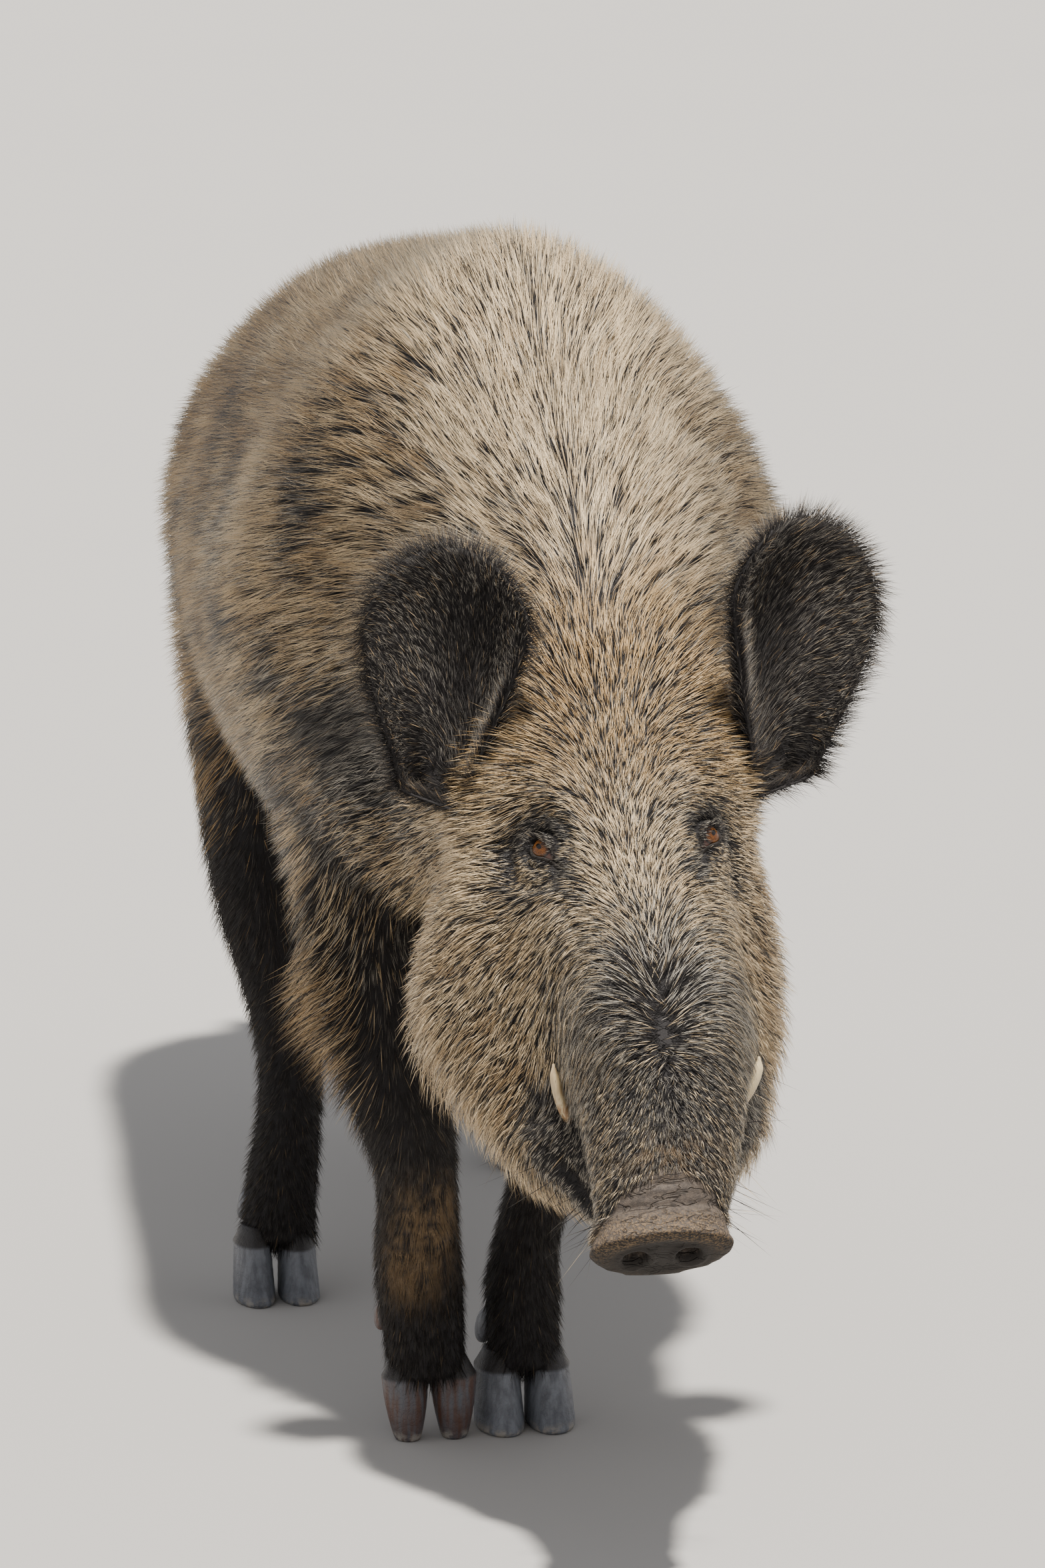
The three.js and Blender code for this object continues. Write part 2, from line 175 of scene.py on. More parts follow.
# The head's own frame: out to the boar's left, along the forehead to the snout, deep towards the throat.
headPlace = {"poll": (0.006, withersY - 0.248, 0.636),
             "pitch": 54.5, "turn": -4.0, "tilt": -2.2, "roll": -1.0}
poll = np.array(headPlace["poll"])
headTurn = (
    Matrix.Rotation(math.radians(headPlace["tilt"]), 3, "Y")
    @ Matrix.Rotation(math.radians(headPlace["turn"]), 3, "Z")
    @ Matrix.Rotation(math.radians(headPlace["pitch"]), 3, "X")
    @ Matrix.Rotation(math.radians(headPlace["roll"]), 3, "Y")
)
headAxes = np.array(headTurn) @ np.diag([1.0, -1.0, -1.0])


def inHead(out, along, deep):
    return poll + headAxes @ np.array([out, along, deep])


def headSpots(points):
    # The same frame, with the muzzle's middle line bent to the boar's left as the solids are.
    out, along, deep = ((points - poll) @ headAxes).T
    return out - 0.009 * smooth(0.15, 0.26, along) * fade(0.375, 0.43, along), along, deep


def headShare(along, deep):
    return smooth(-0.02, 0.08, along) * fade(0.24, 0.28, deep)


# Skin: the solids of flesh made one, smoothed, and drawn in by the depth of the coat.
skinMake = {"voxel": 0.0062, "rounds": 14, "legShrink": 0.005}


def weldedCopy(name):
    shape = bmesh.new()
    shape.from_mesh(nodes[name].data)
    bmesh.ops.remove_doubles(shape, verts=shape.verts, dist=1e-5)
    shape.normal_update()
    if name.startswith("leg_"):  # feet that stand close together are thinned first, so that they stay apart
        for vertex in shape.verts:
            share = float(fade(0.20, 0.27, vertex.co.z))
            vertex.co -= vertex.normal * skinMake["legShrink"] * share
    return shape


def gatherFlesh():
    whole = bpy.data.meshes.new("skin")
    joined = bmesh.new()
    for name in fleshNames:
        part = weldedCopy(name)
        part.to_mesh(whole)
        part.free()
        joined.from_mesh(whole)
    joined.to_mesh(whole)
    joined.free()
    piece = bpy.data.objects.new("skin", whole)
    bpy.context.scene.collection.objects.link(piece)
    bpy.context.view_layer.objects.active = piece
    whole.remesh_voxel_size = skinMake["voxel"]
    whole.remesh_voxel_adaptivity = 0.0
    bpy.ops.object.voxel_remesh()
    return piece


def relax(mesh, share, rounds):
    # Moves each point towards the middle of its neighbours, as far as its share says.
    edges = np.empty(len(mesh.edges) * 2, np.int32)
    mesh.edges.foreach_get("vertices", edges)
    first, second = edges.reshape(-1, 2).T
    points = pointsOf(mesh)
    count = len(points)
    valence = np.maximum(np.bincount(first, minlength=count) + np.bincount(second, minlength=count), 1)
    for _ in range(rounds):
        middle = np.empty_like(points)
        for axis in range(3):
            middle[:, axis] = np.bincount(first, points[second, axis], count)
            middle[:, axis] += np.bincount(second, points[first, axis], count)
        points += (middle / valence[:, None] - points) * share[:, None]
    setPoints(mesh, points)


def refine(mesh, chosen):
    # Splits the edges whose ends are all chosen, for finer modelling there.
    shape = bmesh.new()
    shape.from_mesh(mesh)
    shape.verts.ensure_lookup_table()
    faces = [face for face in shape.faces if all(chosen[v.index] for v in face.verts)]
    edges = list({edge for face in faces for edge in face.edges})
    bmesh.ops.subdivide_edges(shape, edges=edges, cuts=1, use_grid_fill=True)
    shape.to_mesh(mesh)
    shape.free()


eyeLook = {"radius": 0.0115, "opening": (0.0098, 0.0060), "corner": 0.0165, "slant": 60, "lid": 0.0011,
           "surroundings": (0.024, 0.040), "highest": 0.0088, "rings": 40, "around": 48, "cornea": 0.0007}
eyes = {}
for side, toward, nudge in (("left", (8, -2, -10), (0, 0, 0)), ("right", (-8, -2, -10), (0.003, 0, -0.003))):
    low, high = boxOf("eye_" + side)
    sight = unit(headAxes @ np.array(toward, float))
    centre = (low + high) / 2 + headAxes @ np.array(nudge)
    level = headAxes[:, 0] * (-1 if side == "left" else 1)
    level = unit(level - sight * (level @ sight))
    rise = unit(np.cross(level, sight))
    rise *= np.sign(rise @ -headAxes[:, 1])
    slant = math.radians(eyeLook["slant"])  # the opening runs down towards the snout
    eyes[side] = {"centre": centre, "sight": sight, "level": level, "rise": rise,
                  "inward": math.cos(slant) * level - math.sin(slant) * rise,
                  "upward": math.sin(slant) * level + math.cos(slant) * rise}


def eyeSpots(points, side):
    eye = eyes[side]
    offset = points - eye["centre"]
    return offset @ eye["inward"], offset @ eye["upward"], offset @ eye["sight"]


def lidShape(inward):
    # Half length and half height of the opening between the lids. Its inner corner is a narrow groove.
    wide, tall = eyeLook["opening"]
    return np.where(inward > 0, eyeLook["corner"], wide), tall * (1 - 0.76 * smooth(0.001, 0.0125, inward))


def lidGap(inward, upward):
    # How far a place lies outside the opening between the lids.
    wide, tall = lidShape(inward)
    level = np.hypot(inward / wide, upward / tall)
    slope = np.hypot(inward / wide ** 2, upward / tall ** 2) / np.maximum(level, 1e-6)
    return (level - 1) / np.maximum(slope, 1e-6)


def lidSurface(name, inward, upward, ahead=None):
    # How far ahead of the eye's middle the skin lies: a dome over the ball, set in its even surroundings,
    # with a fold above and a bag below. The surroundings are fitted to the skin the first time.
    eye = eyes[name]
    spread = np.hypot(inward, upward)
    terms = columns(1.0, inward, upward, inward ** 2, upward ** 2, inward * upward)
    if ahead is not None:
        near, far = eyeLook["surroundings"]
        ring = (spread > near) & (spread < far) & (np.abs(ahead) < 0.03)
        eye["fit"] = np.linalg.lstsq(terms[ring], ahead[ring], rcond=None)[0]
        eye["fit"][0] = min(eye["fit"][0], eyeLook["highest"])
        print("eye:", name, "stands", round(float(eyeLook["radius"] - eye["fit"][0]) * 1000, 1), "mm proud")
    level = terms @ eye["fit"]
    dome = np.sqrt((eyeLook["radius"] + eyeLook["lid"]) ** 2 - np.minimum(spread, 0.0118) ** 2)
    surface = mixed(dome, level, smooth(0.0085, 0.0190, spread))
    surface = surface + 0.0030 * np.exp(-((inward - 0.006) ** 2 + (upward + 0.018) ** 2) / 0.010 ** 2)
    surface = surface - 0.0016 * hump(spread, 0.0135, 0.0016) * smooth(0.0, 0.004, np.abs(upward))
    return surface


snoutDisc = {"out": -0.003, "deep": 0.0415, "halfWidth": 0.047, "halfHeight": 0.031}


def discSpots(out, deep):
    # The same places measured from the middle of the snout's disc.
    return out - snoutDisc["out"], deep - snoutDisc["deep"]


def discRing(out, deep):
    # 0 at the middle of the snout's disc and 1 at its rim.
    across, down = discSpots(out, deep)
    return np.hypot(across / snoutDisc["halfWidth"], down / snoutDisc["halfHeight"])


def mouthDeep(along):
    # How deep the mouth's line lies, from its corner to the chin.
    return 0.118 - 0.19 * (along - 0.215)


coatDepths = {"body": 0.012, "top": 0.004, "leg": 0.006, "brow": 0.011, "muzzle": 0.0035, "cheek": 0.017,
              "tail": 0.006}


def coatDepth(points, normals):
    # How far the skin lies inside the tips of the coat.
    out, along, deep = headSpots(points)
    y, z = points[:, 1] - withersY, points[:, 2]
    head = headShare(along, deep)
    top = smooth(0.55, 0.95, normals[:, 2]) * fade(0.03, 0.10, np.abs(points[:, 0]))
    depth = coatDepths["body"] + coatDepths["top"] * top * fade(0.45, 0.8, y)
    legs = fade(0.24, 0.36, z) * (1 - head)
    thinned = 1.1 * skinMake["legShrink"] * fade(0.20, 0.27, z)
    depth = mixed(depth, coatDepths["leg"] - thinned, legs)
    cheek = smooth(0.055, 0.10, np.abs(out)) * fade(0.30, 0.37, along)
    face = mixed(coatDepths["brow"], coatDepths["muzzle"], smooth(0.02, 0.16, along))
    face = mixed(face, coatDepths["cheek"], cheek)
    face = face * (1 - 0.85 * smooth(0.385, 0.41, along))
    depth = mixed(depth, face, head)
    return mixed(depth, coatDepths["tail"], smooth(0.86, 0.885, y))


# Depths and heights of the head's folds, in metres.
headFolds = {"mouth": 0.0050, "lips": 0.0022, "hollow": 0.0045, "brow": 0.0040, "tuskFoot": 0.009,
             "tearTrack": 0.0016, "nostril": 0.017, "nostrilRim": 0.0015, "disc": 0.0030, "discRim": 0.0026,
             "wrinkles": 0.0014, "fold": 0.0028}


def sculptHead(points):
    # Folds and openings of the head, in the head's own frame.
    out, along, deep = headSpots(points)
    moved = points.copy()
    head = (along > 0.05) & (deep < 0.25)
    side = np.sign(out)[:, None] * headAxes[:, 0]
    # the mouth's line, with fuller lips above and below it
    lips = head & (along > 0.20) & (along < 0.42)
    gape = deep - mouthDeep(along)
    within = lips * smooth(0.30, 0.36, along) * fade(0.40, 0.42, along)
    away = unit(side + 0.25 * headAxes[:, 2] * np.sign(gape)[:, None])
    moved -= away * (headFolds["mouth"] * hump(gape, 0.0, 0.0035) * within)[:, None]
    fuller = hump(gape, -0.010, 0.006) + hump(gape, 0.010, 0.006)
    moved += away * (headFolds["lips"] * fuller * within)[:, None]
    # shallow hollows before the eyes, and the ridge of the brow over them
    for name, sign in (("left", 1), ("right", -1)):
        hollow = hump(out * sign, 0.036, 0.014) * hump(along, 0.215, 0.035) * (deep < 0.07)
        moved += headAxes[:, 2] * (headFolds["hollow"] * hollow)[:, None]
        brow = hump(out * sign, 0.050, 0.020) * hump(along, 0.140, 0.014) * (deep < 0.08)
        moved -= headAxes[:, 2] * (headFolds["brow"] * brow)[:, None]
    # the lip stands out round the foot of each tusk
    for at, sign in ((0.340, 1), (0.345, -1)):
        bump = np.exp(-((along - at) ** 2 + (deep - 0.092) ** 2) / 0.012 ** 2) * (out * sign > 0.03)
        moved += headAxes[:, 0] * (sign * headFolds["tuskFoot"] * bump)[:, None]
    # lids round each eye
    for name in eyes:
        eye = eyes[name]
        inward, upward, ahead = eyeSpots(moved, name)
        spread = np.hypot(inward, upward)
        near = (spread < 0.040) & (ahead > -0.03) & (ahead < 0.035)
        target = lidSurface(name, inward, upward, ahead)
        target = mixed(target, ahead, smooth(0.024, 0.036, spread))
        track = hump(upward, -0.0005 - 0.3 * (inward - 0.014), 0.0016) * smooth(0.014, 0.017, inward)
        target = target - headFolds["tearTrack"] * track * fade(0.024, 0.034, inward)
        hidden = lidGap(inward, upward) < 0.0008
        target = np.where(hidden, np.where(inward < 0.0095, 0.0045, target - 0.0024), target)
        moved += eye["sight"] * np.where(near, target - ahead, 0)[:, None]
    # the snout's disc: nostrils, a raised rim, and folds on the bridge behind it
    out, along, deep = headSpots(moved)
    fromMiddle, down = discSpots(out, deep)
    ring = discRing(out, deep)
    front = smooth(0.440, 0.446, along)
    ahead = headAxes[:, 1]
    for sign in (1, -1):
        pit = np.hypot((fromMiddle - sign * 0.0175) / 0.0085, (deep - 0.043) / 0.0098)
        moved -= ahead * (headFolds["nostril"] * fade(0.62, 1.05, pit) * front)[:, None]
        moved += ahead * (headFolds["nostrilRim"] * hump(pit, 1.35, 0.2) * front)[:, None]
    moved -= ahead * (headFolds["disc"] * fade(0.45, 0.85, ring) * front)[:, None]
    lipUp = hump(along, 0.447, 0.0045) * smooth(0.7, 0.95, ring)
    radial = unit(fromMiddle[:, None] * headAxes[:, 0] + down[:, None] * headAxes[:, 2])
    moved += radial * (headFolds["discRim"] * lipUp)[:, None]
    bridge = smooth(0.395, 0.405, along) * fade(0.436, 0.442, along) * fade(0.03, 0.06, deep)
    arch = along + 2.2 * out ** 2
    waves = np.sin((arch + 0.006 * mottle(moved, 0.03, 41)) * 2 * math.pi / 0.0095) ** 3
    wrinkles = waves * bridge * mottle(moved, 0.018, 42)
    moved -= headAxes[:, 2] * (headFolds["wrinkles"] * wrinkles)[:, None]
    moved += headAxes[:, 2] * (headFolds["fold"] * hump(arch, 0.427, 0.0028) * bridge)[:, None]
    return moved


def buildSkin():
    skin = gatherFlesh()
    mesh = skin.data
    points = pointsOf(mesh)
    _, along, deep = headSpots(points)
    head = smooth(0.02, 0.10, along) * fade(0.24, 0.28, deep)
    legs = fade(0.20, 0.34, points[:, 2]) * (1 - head)
    tail = smooth(0.865, 0.885, points[:, 1] - withersY)
    calm = np.clip(1 - 0.72 * head - 0.66 * legs - 0.8 * tail, 0.15, 1)
    relax(mesh, 0.6 * calm, skinMake["rounds"])
    points = pointsOf(mesh)
    normals = normalsOf(mesh)
    setPoints(mesh, points - normals * coatDepth(points, normals)[:, None])
    relax(mesh, 0.4 * calm, 3)
    for near in (0.040, 0.030):
        points = pointsOf(mesh)
        _, along, deep = headSpots(points)
        chosen = (along > 0.395) & (deep < 0.11)
        line = mouthDeep(along)
        chosen |= (along > 0.26) & (deep > line - 0.022) & (deep < line + 0.022) & (near > 0.035)
        for name in eyes:
            chosen |= np.linalg.norm(points - eyes[name]["centre"], axis=1) < near
        refine(mesh, chosen)
        points = pointsOf(mesh)
        _, along, deep = headSpots(points)
        fresh = smooth(0.05, 0.1, along) * fade(0.2, 0.25, deep)
        relax(mesh, 0.35 * fresh, 2)
    setPoints(mesh, sculptHead(pointsOf(mesh)))
    mesh.shade_smooth()
    print("skin:", len(mesh.vertices), "points")
    return skin


skin = buildSkin()


# Ears: thin cupped leaves on the skin, with the same lie as the solid ears.
ears = {
    "left": {"base": (0.094, 0.080, 0.054), "outward": 1, "length": 0.170, "halfWidth": 0.0630,
             "lean": (0.32, 0.02, 1), "facing": (0.22, -1, -0.15)},
    "right": {"base": (-0.088, 0.084, 0.042), "outward": -1, "length": 0.160, "halfWidth": 0.0630,
              "lean": (-0.20, 0.02, 1), "facing": (-0.3, -1, -0.15)},
}
earMake = {"across": 32, "rise": 38, "thickness": 0.0065, "foot": 0.22, "sweep": 0.030}


def earAxes(side):
    up = unit(np.array(ears[side]["lean"], float))
    sideways = unit(np.cross(up, np.array(ears[side]["facing"], float)))
    return up, sideways, np.cross(sideways, up)


def earPoints(side, across, rise, layer):
    ear = ears[side]
    up, sideways, ahead = earAxes(side)
    free = np.clip(rise, 0, None)
    curl = 1.75 - 1.1 * free
    belly = 0.66 + 0.36 * np.sin(math.pi / 2 * np.minimum(free / 0.62, 1))
    belly = belly - 0.16 * np.clip(free - 0.62, 0, None)
    radius = ear["halfWidth"] * belly / curl
    cap = 1 - np.sqrt(np.clip(1 - 0.97 * across ** 2, 0, 1))
    thickness = earMake["thickness"] * (1 - 0.6 * np.abs(across) ** 3) * (1 - 0.4 * free ** 3)
    ridge = 0.004 * hump(across, 0.35, 0.10) * fade(0.35, 0.7, rise) * (layer > 0)
    ridge = ridge + 0.003 * hump(across, -0.30, 0.10) * fade(0.25, 0.6, rise) * (layer > 0)
    below = np.clip(-rise, 0, None)  # the foot runs down into the head
    radius = radius * (1 - 2.6 * below)
    reach = radius - layer * thickness - ridge
    height = ear["length"] * (rise - 0.42 * cap * free ** 3) - 0.018
    forward = radius - reach * np.cos(curl * across) - 0.014 + 0.010 * rise
    forward = forward + 0.014 * free ** 2 + 0.06 * below
    sweep = ear["outward"] * earMake["sweep"] * np.clip(1 - free / 0.8, 0, 1) ** 1.5
    sweep = sweep * (1 - 6.5 * below)
    return (inHead(*ear["base"]) + up * height[:, None] + ahead * forward[:, None]
            + sideways * (reach * np.sin(curl * across) + sweep)[:, None])


def buildEar(side):
    wide, tall = earMake["across"], earMake["rise"]
    across, rise = np.meshgrid(np.sin(np.linspace(-math.pi / 2, math.pi / 2, wide)),
                               np.linspace(-earMake["foot"], 1, tall))
    across, rise = across.ravel(), rise.ravel()
    layers = []
    tips = []
    for layer in (0.5, -0.5):
        spots = earPoints(side, across, rise, np.full(len(rise), layer))
        later = earPoints(side, across * 1.02, np.minimum(rise + 0.02, 1.2), np.full(len(rise), layer))
        layers.append(spots)
        tips.append(unit(later - spots))
    index = np.arange(wide * tall).reshape(tall, wide)
    a, b, c, d = index[:-1, :-1], index[:-1, 1:], index[1:, 1:], index[1:, :-1]
    inner = np.stack([a, b, c, d], -1).reshape(-1, 4)
    outer = inner[:, ::-1] + wide * tall
    border = np.concatenate([index[0, :-1], index[:-1, -1], index[-1, :0:-1], index[:0:-1, 0]])
    after = np.roll(border, -1)
    rims = np.stack([after, border, border + wide * tall, after + wide * tall], -1)
    piece = newMesh("ear_" + side + "_skin", np.concatenate(layers), np.concatenate([inner, outer, rims]), 4)
    return piece, np.concatenate(tips), np.concatenate([across, across]), np.concatenate([rise, rise])


earPieces = {side: buildEar(side) for side in ears}
print("ears: built")


# Lids: a smooth rounded rim round each opening, part of the skin.
lidMake = {"around": 84, "steps": (0.0, 0.0003, 0.0007, 0.0012, 0.0020, 0.0030, 0.0040),
           "heights": (-0.0010, -0.0002, 0.0005, 0.0008, 0.0006, 0.0, -0.0013)}


def buildLid(name):
    turn = np.linspace(0, 2 * math.pi, lidMake["around"], endpoint=False)
    inward = np.cos(turn)
    inward = inward * lidShape(inward)[0]
    upward = lidShape(inward)[1] * np.sin(turn)
    steps = [np.roll(place, -1) - np.roll(place, 1) for place in (inward, upward)]
    outward = unit(columns(steps[1], -steps[0]))
    eye = eyes[name]
    points = []
    for step, height in zip(lidMake["steps"], lidMake["heights"]):
        u, v = inward + outward[:, 0] * step, upward + outward[:, 1] * step
        ahead = lidSurface(name, u, v) + height
        points.append(eye["centre"] + u[:, None] * eye["inward"] + v[:, None] * eye["upward"]
                      + ahead[:, None] * eye["sight"])
    rows = len(lidMake["steps"])
    index = np.arange(rows * len(turn)).reshape(rows, len(turn))
    after = np.roll(index, -1, axis=1)
    order = [index[:-1], index[1:], after[1:], after[:-1]]
    if name == "right":
        order = [index[:-1], after[:-1], after[1:], index[1:]]
    piece = newMesh("lid_" + name, np.concatenate(points), np.stack(order, -1).reshape(-1, 4), 4)
    row = np.repeat(np.arange(rows), len(turn))
    # the lower lid's inner rim: pale pink skin with a painted wet glint
    paleRimAndGlint = (row == 0) * (np.tile(upward, rows) < 0) * smooth(0.0, 0.006, np.tile(inward, rows))
    marks = columns(paleRimAndGlint, 0.0, 0.97, 0.0)
    return piece, marks


lidPieces = {name: buildLid(name) for name in eyes}


# Where the parts of the body lie, for the coat's lie, length and markings.
legLines = {  # height: place across, place along, half width, half depth
    "front_left": [(0.56, 0.112, 0.040, 0.070, 0.092), (0.40, 0.104, 0.018, 0.050, 0.064),
                   (0.33, 0.080, 0.002, 0.038, 0.045), (0.265, 0.054, -0.016, 0.033, 0.034),
                   (0.22, 0.032, -0.026, 0.034, 0.033), (0.175, 0.012, -0.030, 0.030, 0.028),
                   (0.10, -0.004, -0.033, 0.032, 0.030), (0.04, -0.008, -0.052, 0.034, 0.026)],
    "front_right": [(0.56, -0.112, 0.040, 0.070, 0.092), (0.40, -0.116, 0.010, 0.056, 0.064),
                    (0.33, -0.110, -0.025, 0.050, 0.047), (0.268, -0.104, -0.055, 0.041, 0.038),
                    (0.226, -0.094, -0.080, 0.038, 0.034), (0.186, -0.090, -0.086, 0.034, 0.031),
                    (0.108, -0.085, -0.068, 0.037, 0.032), (0.05, -0.079, -0.068, 0.032, 0.023)],
    "hind_left": [(0.60, 0.074, 0.690, 0.056, 0.100), (0.44, 0.102, 0.655, 0.058, 0.122),
                  (0.37, 0.110, 0.640, 0.050, 0.112), (0.31, 0.116, 0.655, 0.040, 0.058),
                  (0.262, 0.119, 0.690, 0.033, 0.040), (0.215, 0.121, 0.694, 0.029, 0.031),
                  (0.116, 0.126, 0.654, 0.029, 0.028), (0.04, 0.130, 0.622, 0.032, 0.025)],
    "hind_right": [(0.60, -0.074, 0.680, 0.056, 0.100), (0.44, -0.100, 0.620, 0.058, 0.125),
                   (0.37, -0.108, 0.545, 0.054, 0.096), (0.31, -0.113, 0.485, 0.048, 0.062),
                   (0.26, -0.113, 0.434, 0.042, 0.043), (0.216, -0.109, 0.402, 0.034, 0.034),
                   (0.124, -0.114, 0.332, 0.030, 0.027), (0.04, -0.130, 0.296, 0.032, 0.025)],
}

def legShares(points):
    # How far each point belongs to each leg.
    height = points[:, 2]
    shares = []
    for leg in legNames:
        rows = np.array(legLines[leg])[::-1]
        x, y, wide, long = (np.interp(height, rows[:, 0], rows[:, column]) for column in range(1, 5))
        across = (points[:, 0] - x) / wide
        along = (points[:, 1] - withersY - y) / long
        share = 1 - smooth(1.05, 1.45, np.hypot(across, along))
        shares.append(share * fade(0.34, 0.46, height) * (height < 0.5))
    return np.array(shares)


def tailShare(points):
    y, z = points[:, 1] - withersY, points[:, 2]
    return smooth(0.850, 0.868, y) * (np.abs(points[:, 0]) < 0.06) * (z < 0.66)


def nearest(points, middles):
    return np.min([np.linalg.norm(points - middle, axis=1) for middle in middles], axis=0)


def circling(normals, side):
    # The way round the head from the middle of its top down towards the throat.
    return unit(np.cross(normals, headAxes[:, 1]) * side[:, None])


# In order: body, neck, ridge, chest, underside, legs, lower legs, tail, and on the head its sides, the
# ruff, the face, the jaw, the muzzle and the lids. In metres, and the lift from the skin in degrees.
coatMake = {
    "length": (0.036, 0.034, 0.041, 0.042, 0.038, 0.026, 0.017, 0.026,
               (0.021, 0.028, 0.0160, 0.035, 0.0110, 0.0075)),
    "lift": (42, 40, 42, 36, 28, 24, 24, 18, (33, 38, 28, 38, 30, 24)),
    "width": (0.00082, 0.00075, 0.00078, 0.0009, 0.0009, 0.0009, 0.00075, 0.0010,
              (0.00066, 0.00074, 0.00052, 0.00076, 0.00052, 0.00042)),
    "spacing": (0.00235, 0.00210, 0.00225, 0.00260, 0.00290, 0.00270, 0.00215, 0.00240,
                (0.00210, 0.00202, 0.00144, 0.00224, 0.00133, 0.00115)),
    "fringe": (0.052, 44.0), "elbow": (0.058, 50.0), "cuff": (0.018, 30.0), "earRoot": (0.038, 50.0),
    "tailTuft": 0.055,
}


def coatAt(points, normals):
    # The lie, length, lift, width and spacing of the coat at each point, and its markings.
    out, along, deep = headSpots(points)
    x, y, z = points[:, 0], points[:, 1] - withersY, points[:, 2]
    away = np.abs(out)
    crossing = 0.034 * (mottle(points, 0.0018, 31) - 0.5)  # near the middle, hair of both sides crosses over
    side = np.where(out + crossing < 0, -1.0, 1.0)
    head = headShare(along, deep)
    shares = legShares(points)
    legs = shares.max(axis=0) * (1 - head)
    low = legs * fade(0.20, 0.30, z)
    tail = tailShare(points)
    topness = smooth(0.3, 0.9, normals[:, 2])
    ridge = topness * fade(0.03, 0.09, np.abs(x)) * (1 - head)
    neck = fade(-0.10, 0.02, y) * (1 - head)
    under = smooth(0.35, 0.9, -normals[:, 2]) * (1 - legs)

    # the lie of the hair
    half = np.sign(x)
    body = columns(0.10 * half * (1 - topness), 1.0, -0.55 + 0.75 * topness)
    body = mixed(body, columns(0.06 * half, 0.9, -0.35 + 0.9 * topness), neck)
    down = columns(0.05 * half, 0.22, -1.0)
    chest = smooth(0.35, 0.8, -normals[:, 1]) * fade(0.42, 0.56, z)
    flow = mixed(body, down, np.clip(np.maximum(legs, chest), 0, 1))
    flow = mixed(flow, columns(0.0, 0.25 * smooth(0.58, 0.62, z), -1.0), tail)
    elbow = shares[:2].max(axis=0) * hump(z, 0.325, 0.055)
    elbow = elbow * smooth(0.0, 0.6, half * normals[:, 0]) * (1 - head)
    flow = mixed(flow, columns(0.9 * half, 0.5, -1.0), elbow)
    middle = np.interp(along, [0.0, 0.10, 0.18, 0.24, 0.28, 0.31, 0.33, 0.35, 0.41],
                       [4, 7, 10, 16, 26, 70, 128, 158, 166])
    beside = np.interp(along, [-0.03, 0.05, 0.10, 0.14, 0.19, 0.24, 0.30, 0.345, 0.41],
                       [32, 58, 80, 90, 106, 130, 142, 128, 130])
    angle = mixed(middle, beside, smooth(0.0, 0.055, away))
    ruff = hump(along, 0.165, 0.05) * smooth(0.06, 0.085, away) * fade(0.05, 0.10, deep)
    angle = mixed(angle, 72.0, ruff)
    lower = np.interp(along, [0.0, 0.15, 0.25, 0.35], [48, 84, 112, 128])
    angle = mixed(angle, lower, smooth(0.07, 0.12, deep))
    angle = mixed(angle, 55.0, smooth(0.16, 0.21, deep) * fade(0.2, 0.3, along))
    angle = np.radians(angle)
    facing = np.cos(angle)[:, None] * -headAxes[:, 1] + np.sin(angle)[:, None] * circling(normals, side)
    flow = mixed(unit(flow), facing, head)
    flow = flow - normals * np.sum(flow * normals, axis=1)[:, None]
    flow = unit(flow + 1e-6)

    # length, lift, width and spacing
    muzzle = smooth(0.30, 0.345, along) * fade(0.09, 0.13, deep)
    face = fade(0.05, 0.085, away) * smooth(0.05, 0.13, along) * fade(0.06, 0.1, deep)
    jaw = smooth(0.085, 0.14, deep) * smooth(0.0, 0.05, along)
    nearEye = nearest(points, [eyes[name]["centre"] for name in eyes])
    lids = 1 - smooth(0.020, 0.036, nearEye)
    arcs = hump(along, 0.285, 0.045) * fade(0.055, 0.08, away) * (deep < 0.1)
    cuff = legs * fade(0.050, 0.070, z)
    earRoot = nearest(points, [inHead(*ears[name]["base"]) for name in ears])
    earRoot = head * fade(0.045, 0.080, earRoot) * smooth(0.0, 0.05, along) * (deep < 0.11)

    def blend(values):
        value = np.full(len(points), values[0])
        for part, share in zip(values[1:8], (neck, ridge, chest, under, legs, low, tail)):
            value = mixed(value, part, share)
        onHead = np.full(len(points), values[8][0])
        for part, share in zip(values[8][1:], (ruff, face, jaw, muzzle, lids)):
            onHead = mixed(onHead, part, share)
        return mixed(value, onHead, head)

    length, lift, width, spacing = (blend(coatMake[key]) for key in ("length", "lift", "width", "spacing"))
    rear = 1 + 0.25 * smooth(0.25, 0.70, y)
    spacing = spacing * (1 - 0.22 * muzzle * hump(out, 0.0, 0.012))
    spacing = spacing * mixed(rear, 1.0, head)
    length = length + 0.013 * arcs * head
    lift = lift + 8 * arcs * head
    fringe = head * smooth(0.145, 0.175, deep) * smooth(0.06, 0.12, along) * fade(0.30, 0.36, along)
    for key, share in (("fringe", fringe), ("elbow", elbow), ("cuff", cuff), ("earRoot", earRoot)):
        length = mixed(length, coatMake[key][0], share)
        lift = mixed(lift, coatMake[key][1], share)
    tuft = tail * fade(0.36, 0.47, z)
    length = mixed(length, coatMake["tailTuft"], tuft)
    bend = -side * (0.44 * arcs * smooth(0.002, 0.024, away) + 0.12 * ruff) * head
    clump = mixed(mixed(0.90 - 0.60 * smooth(0.4, 0.9, topness), 0.35, legs), 0.45, head)

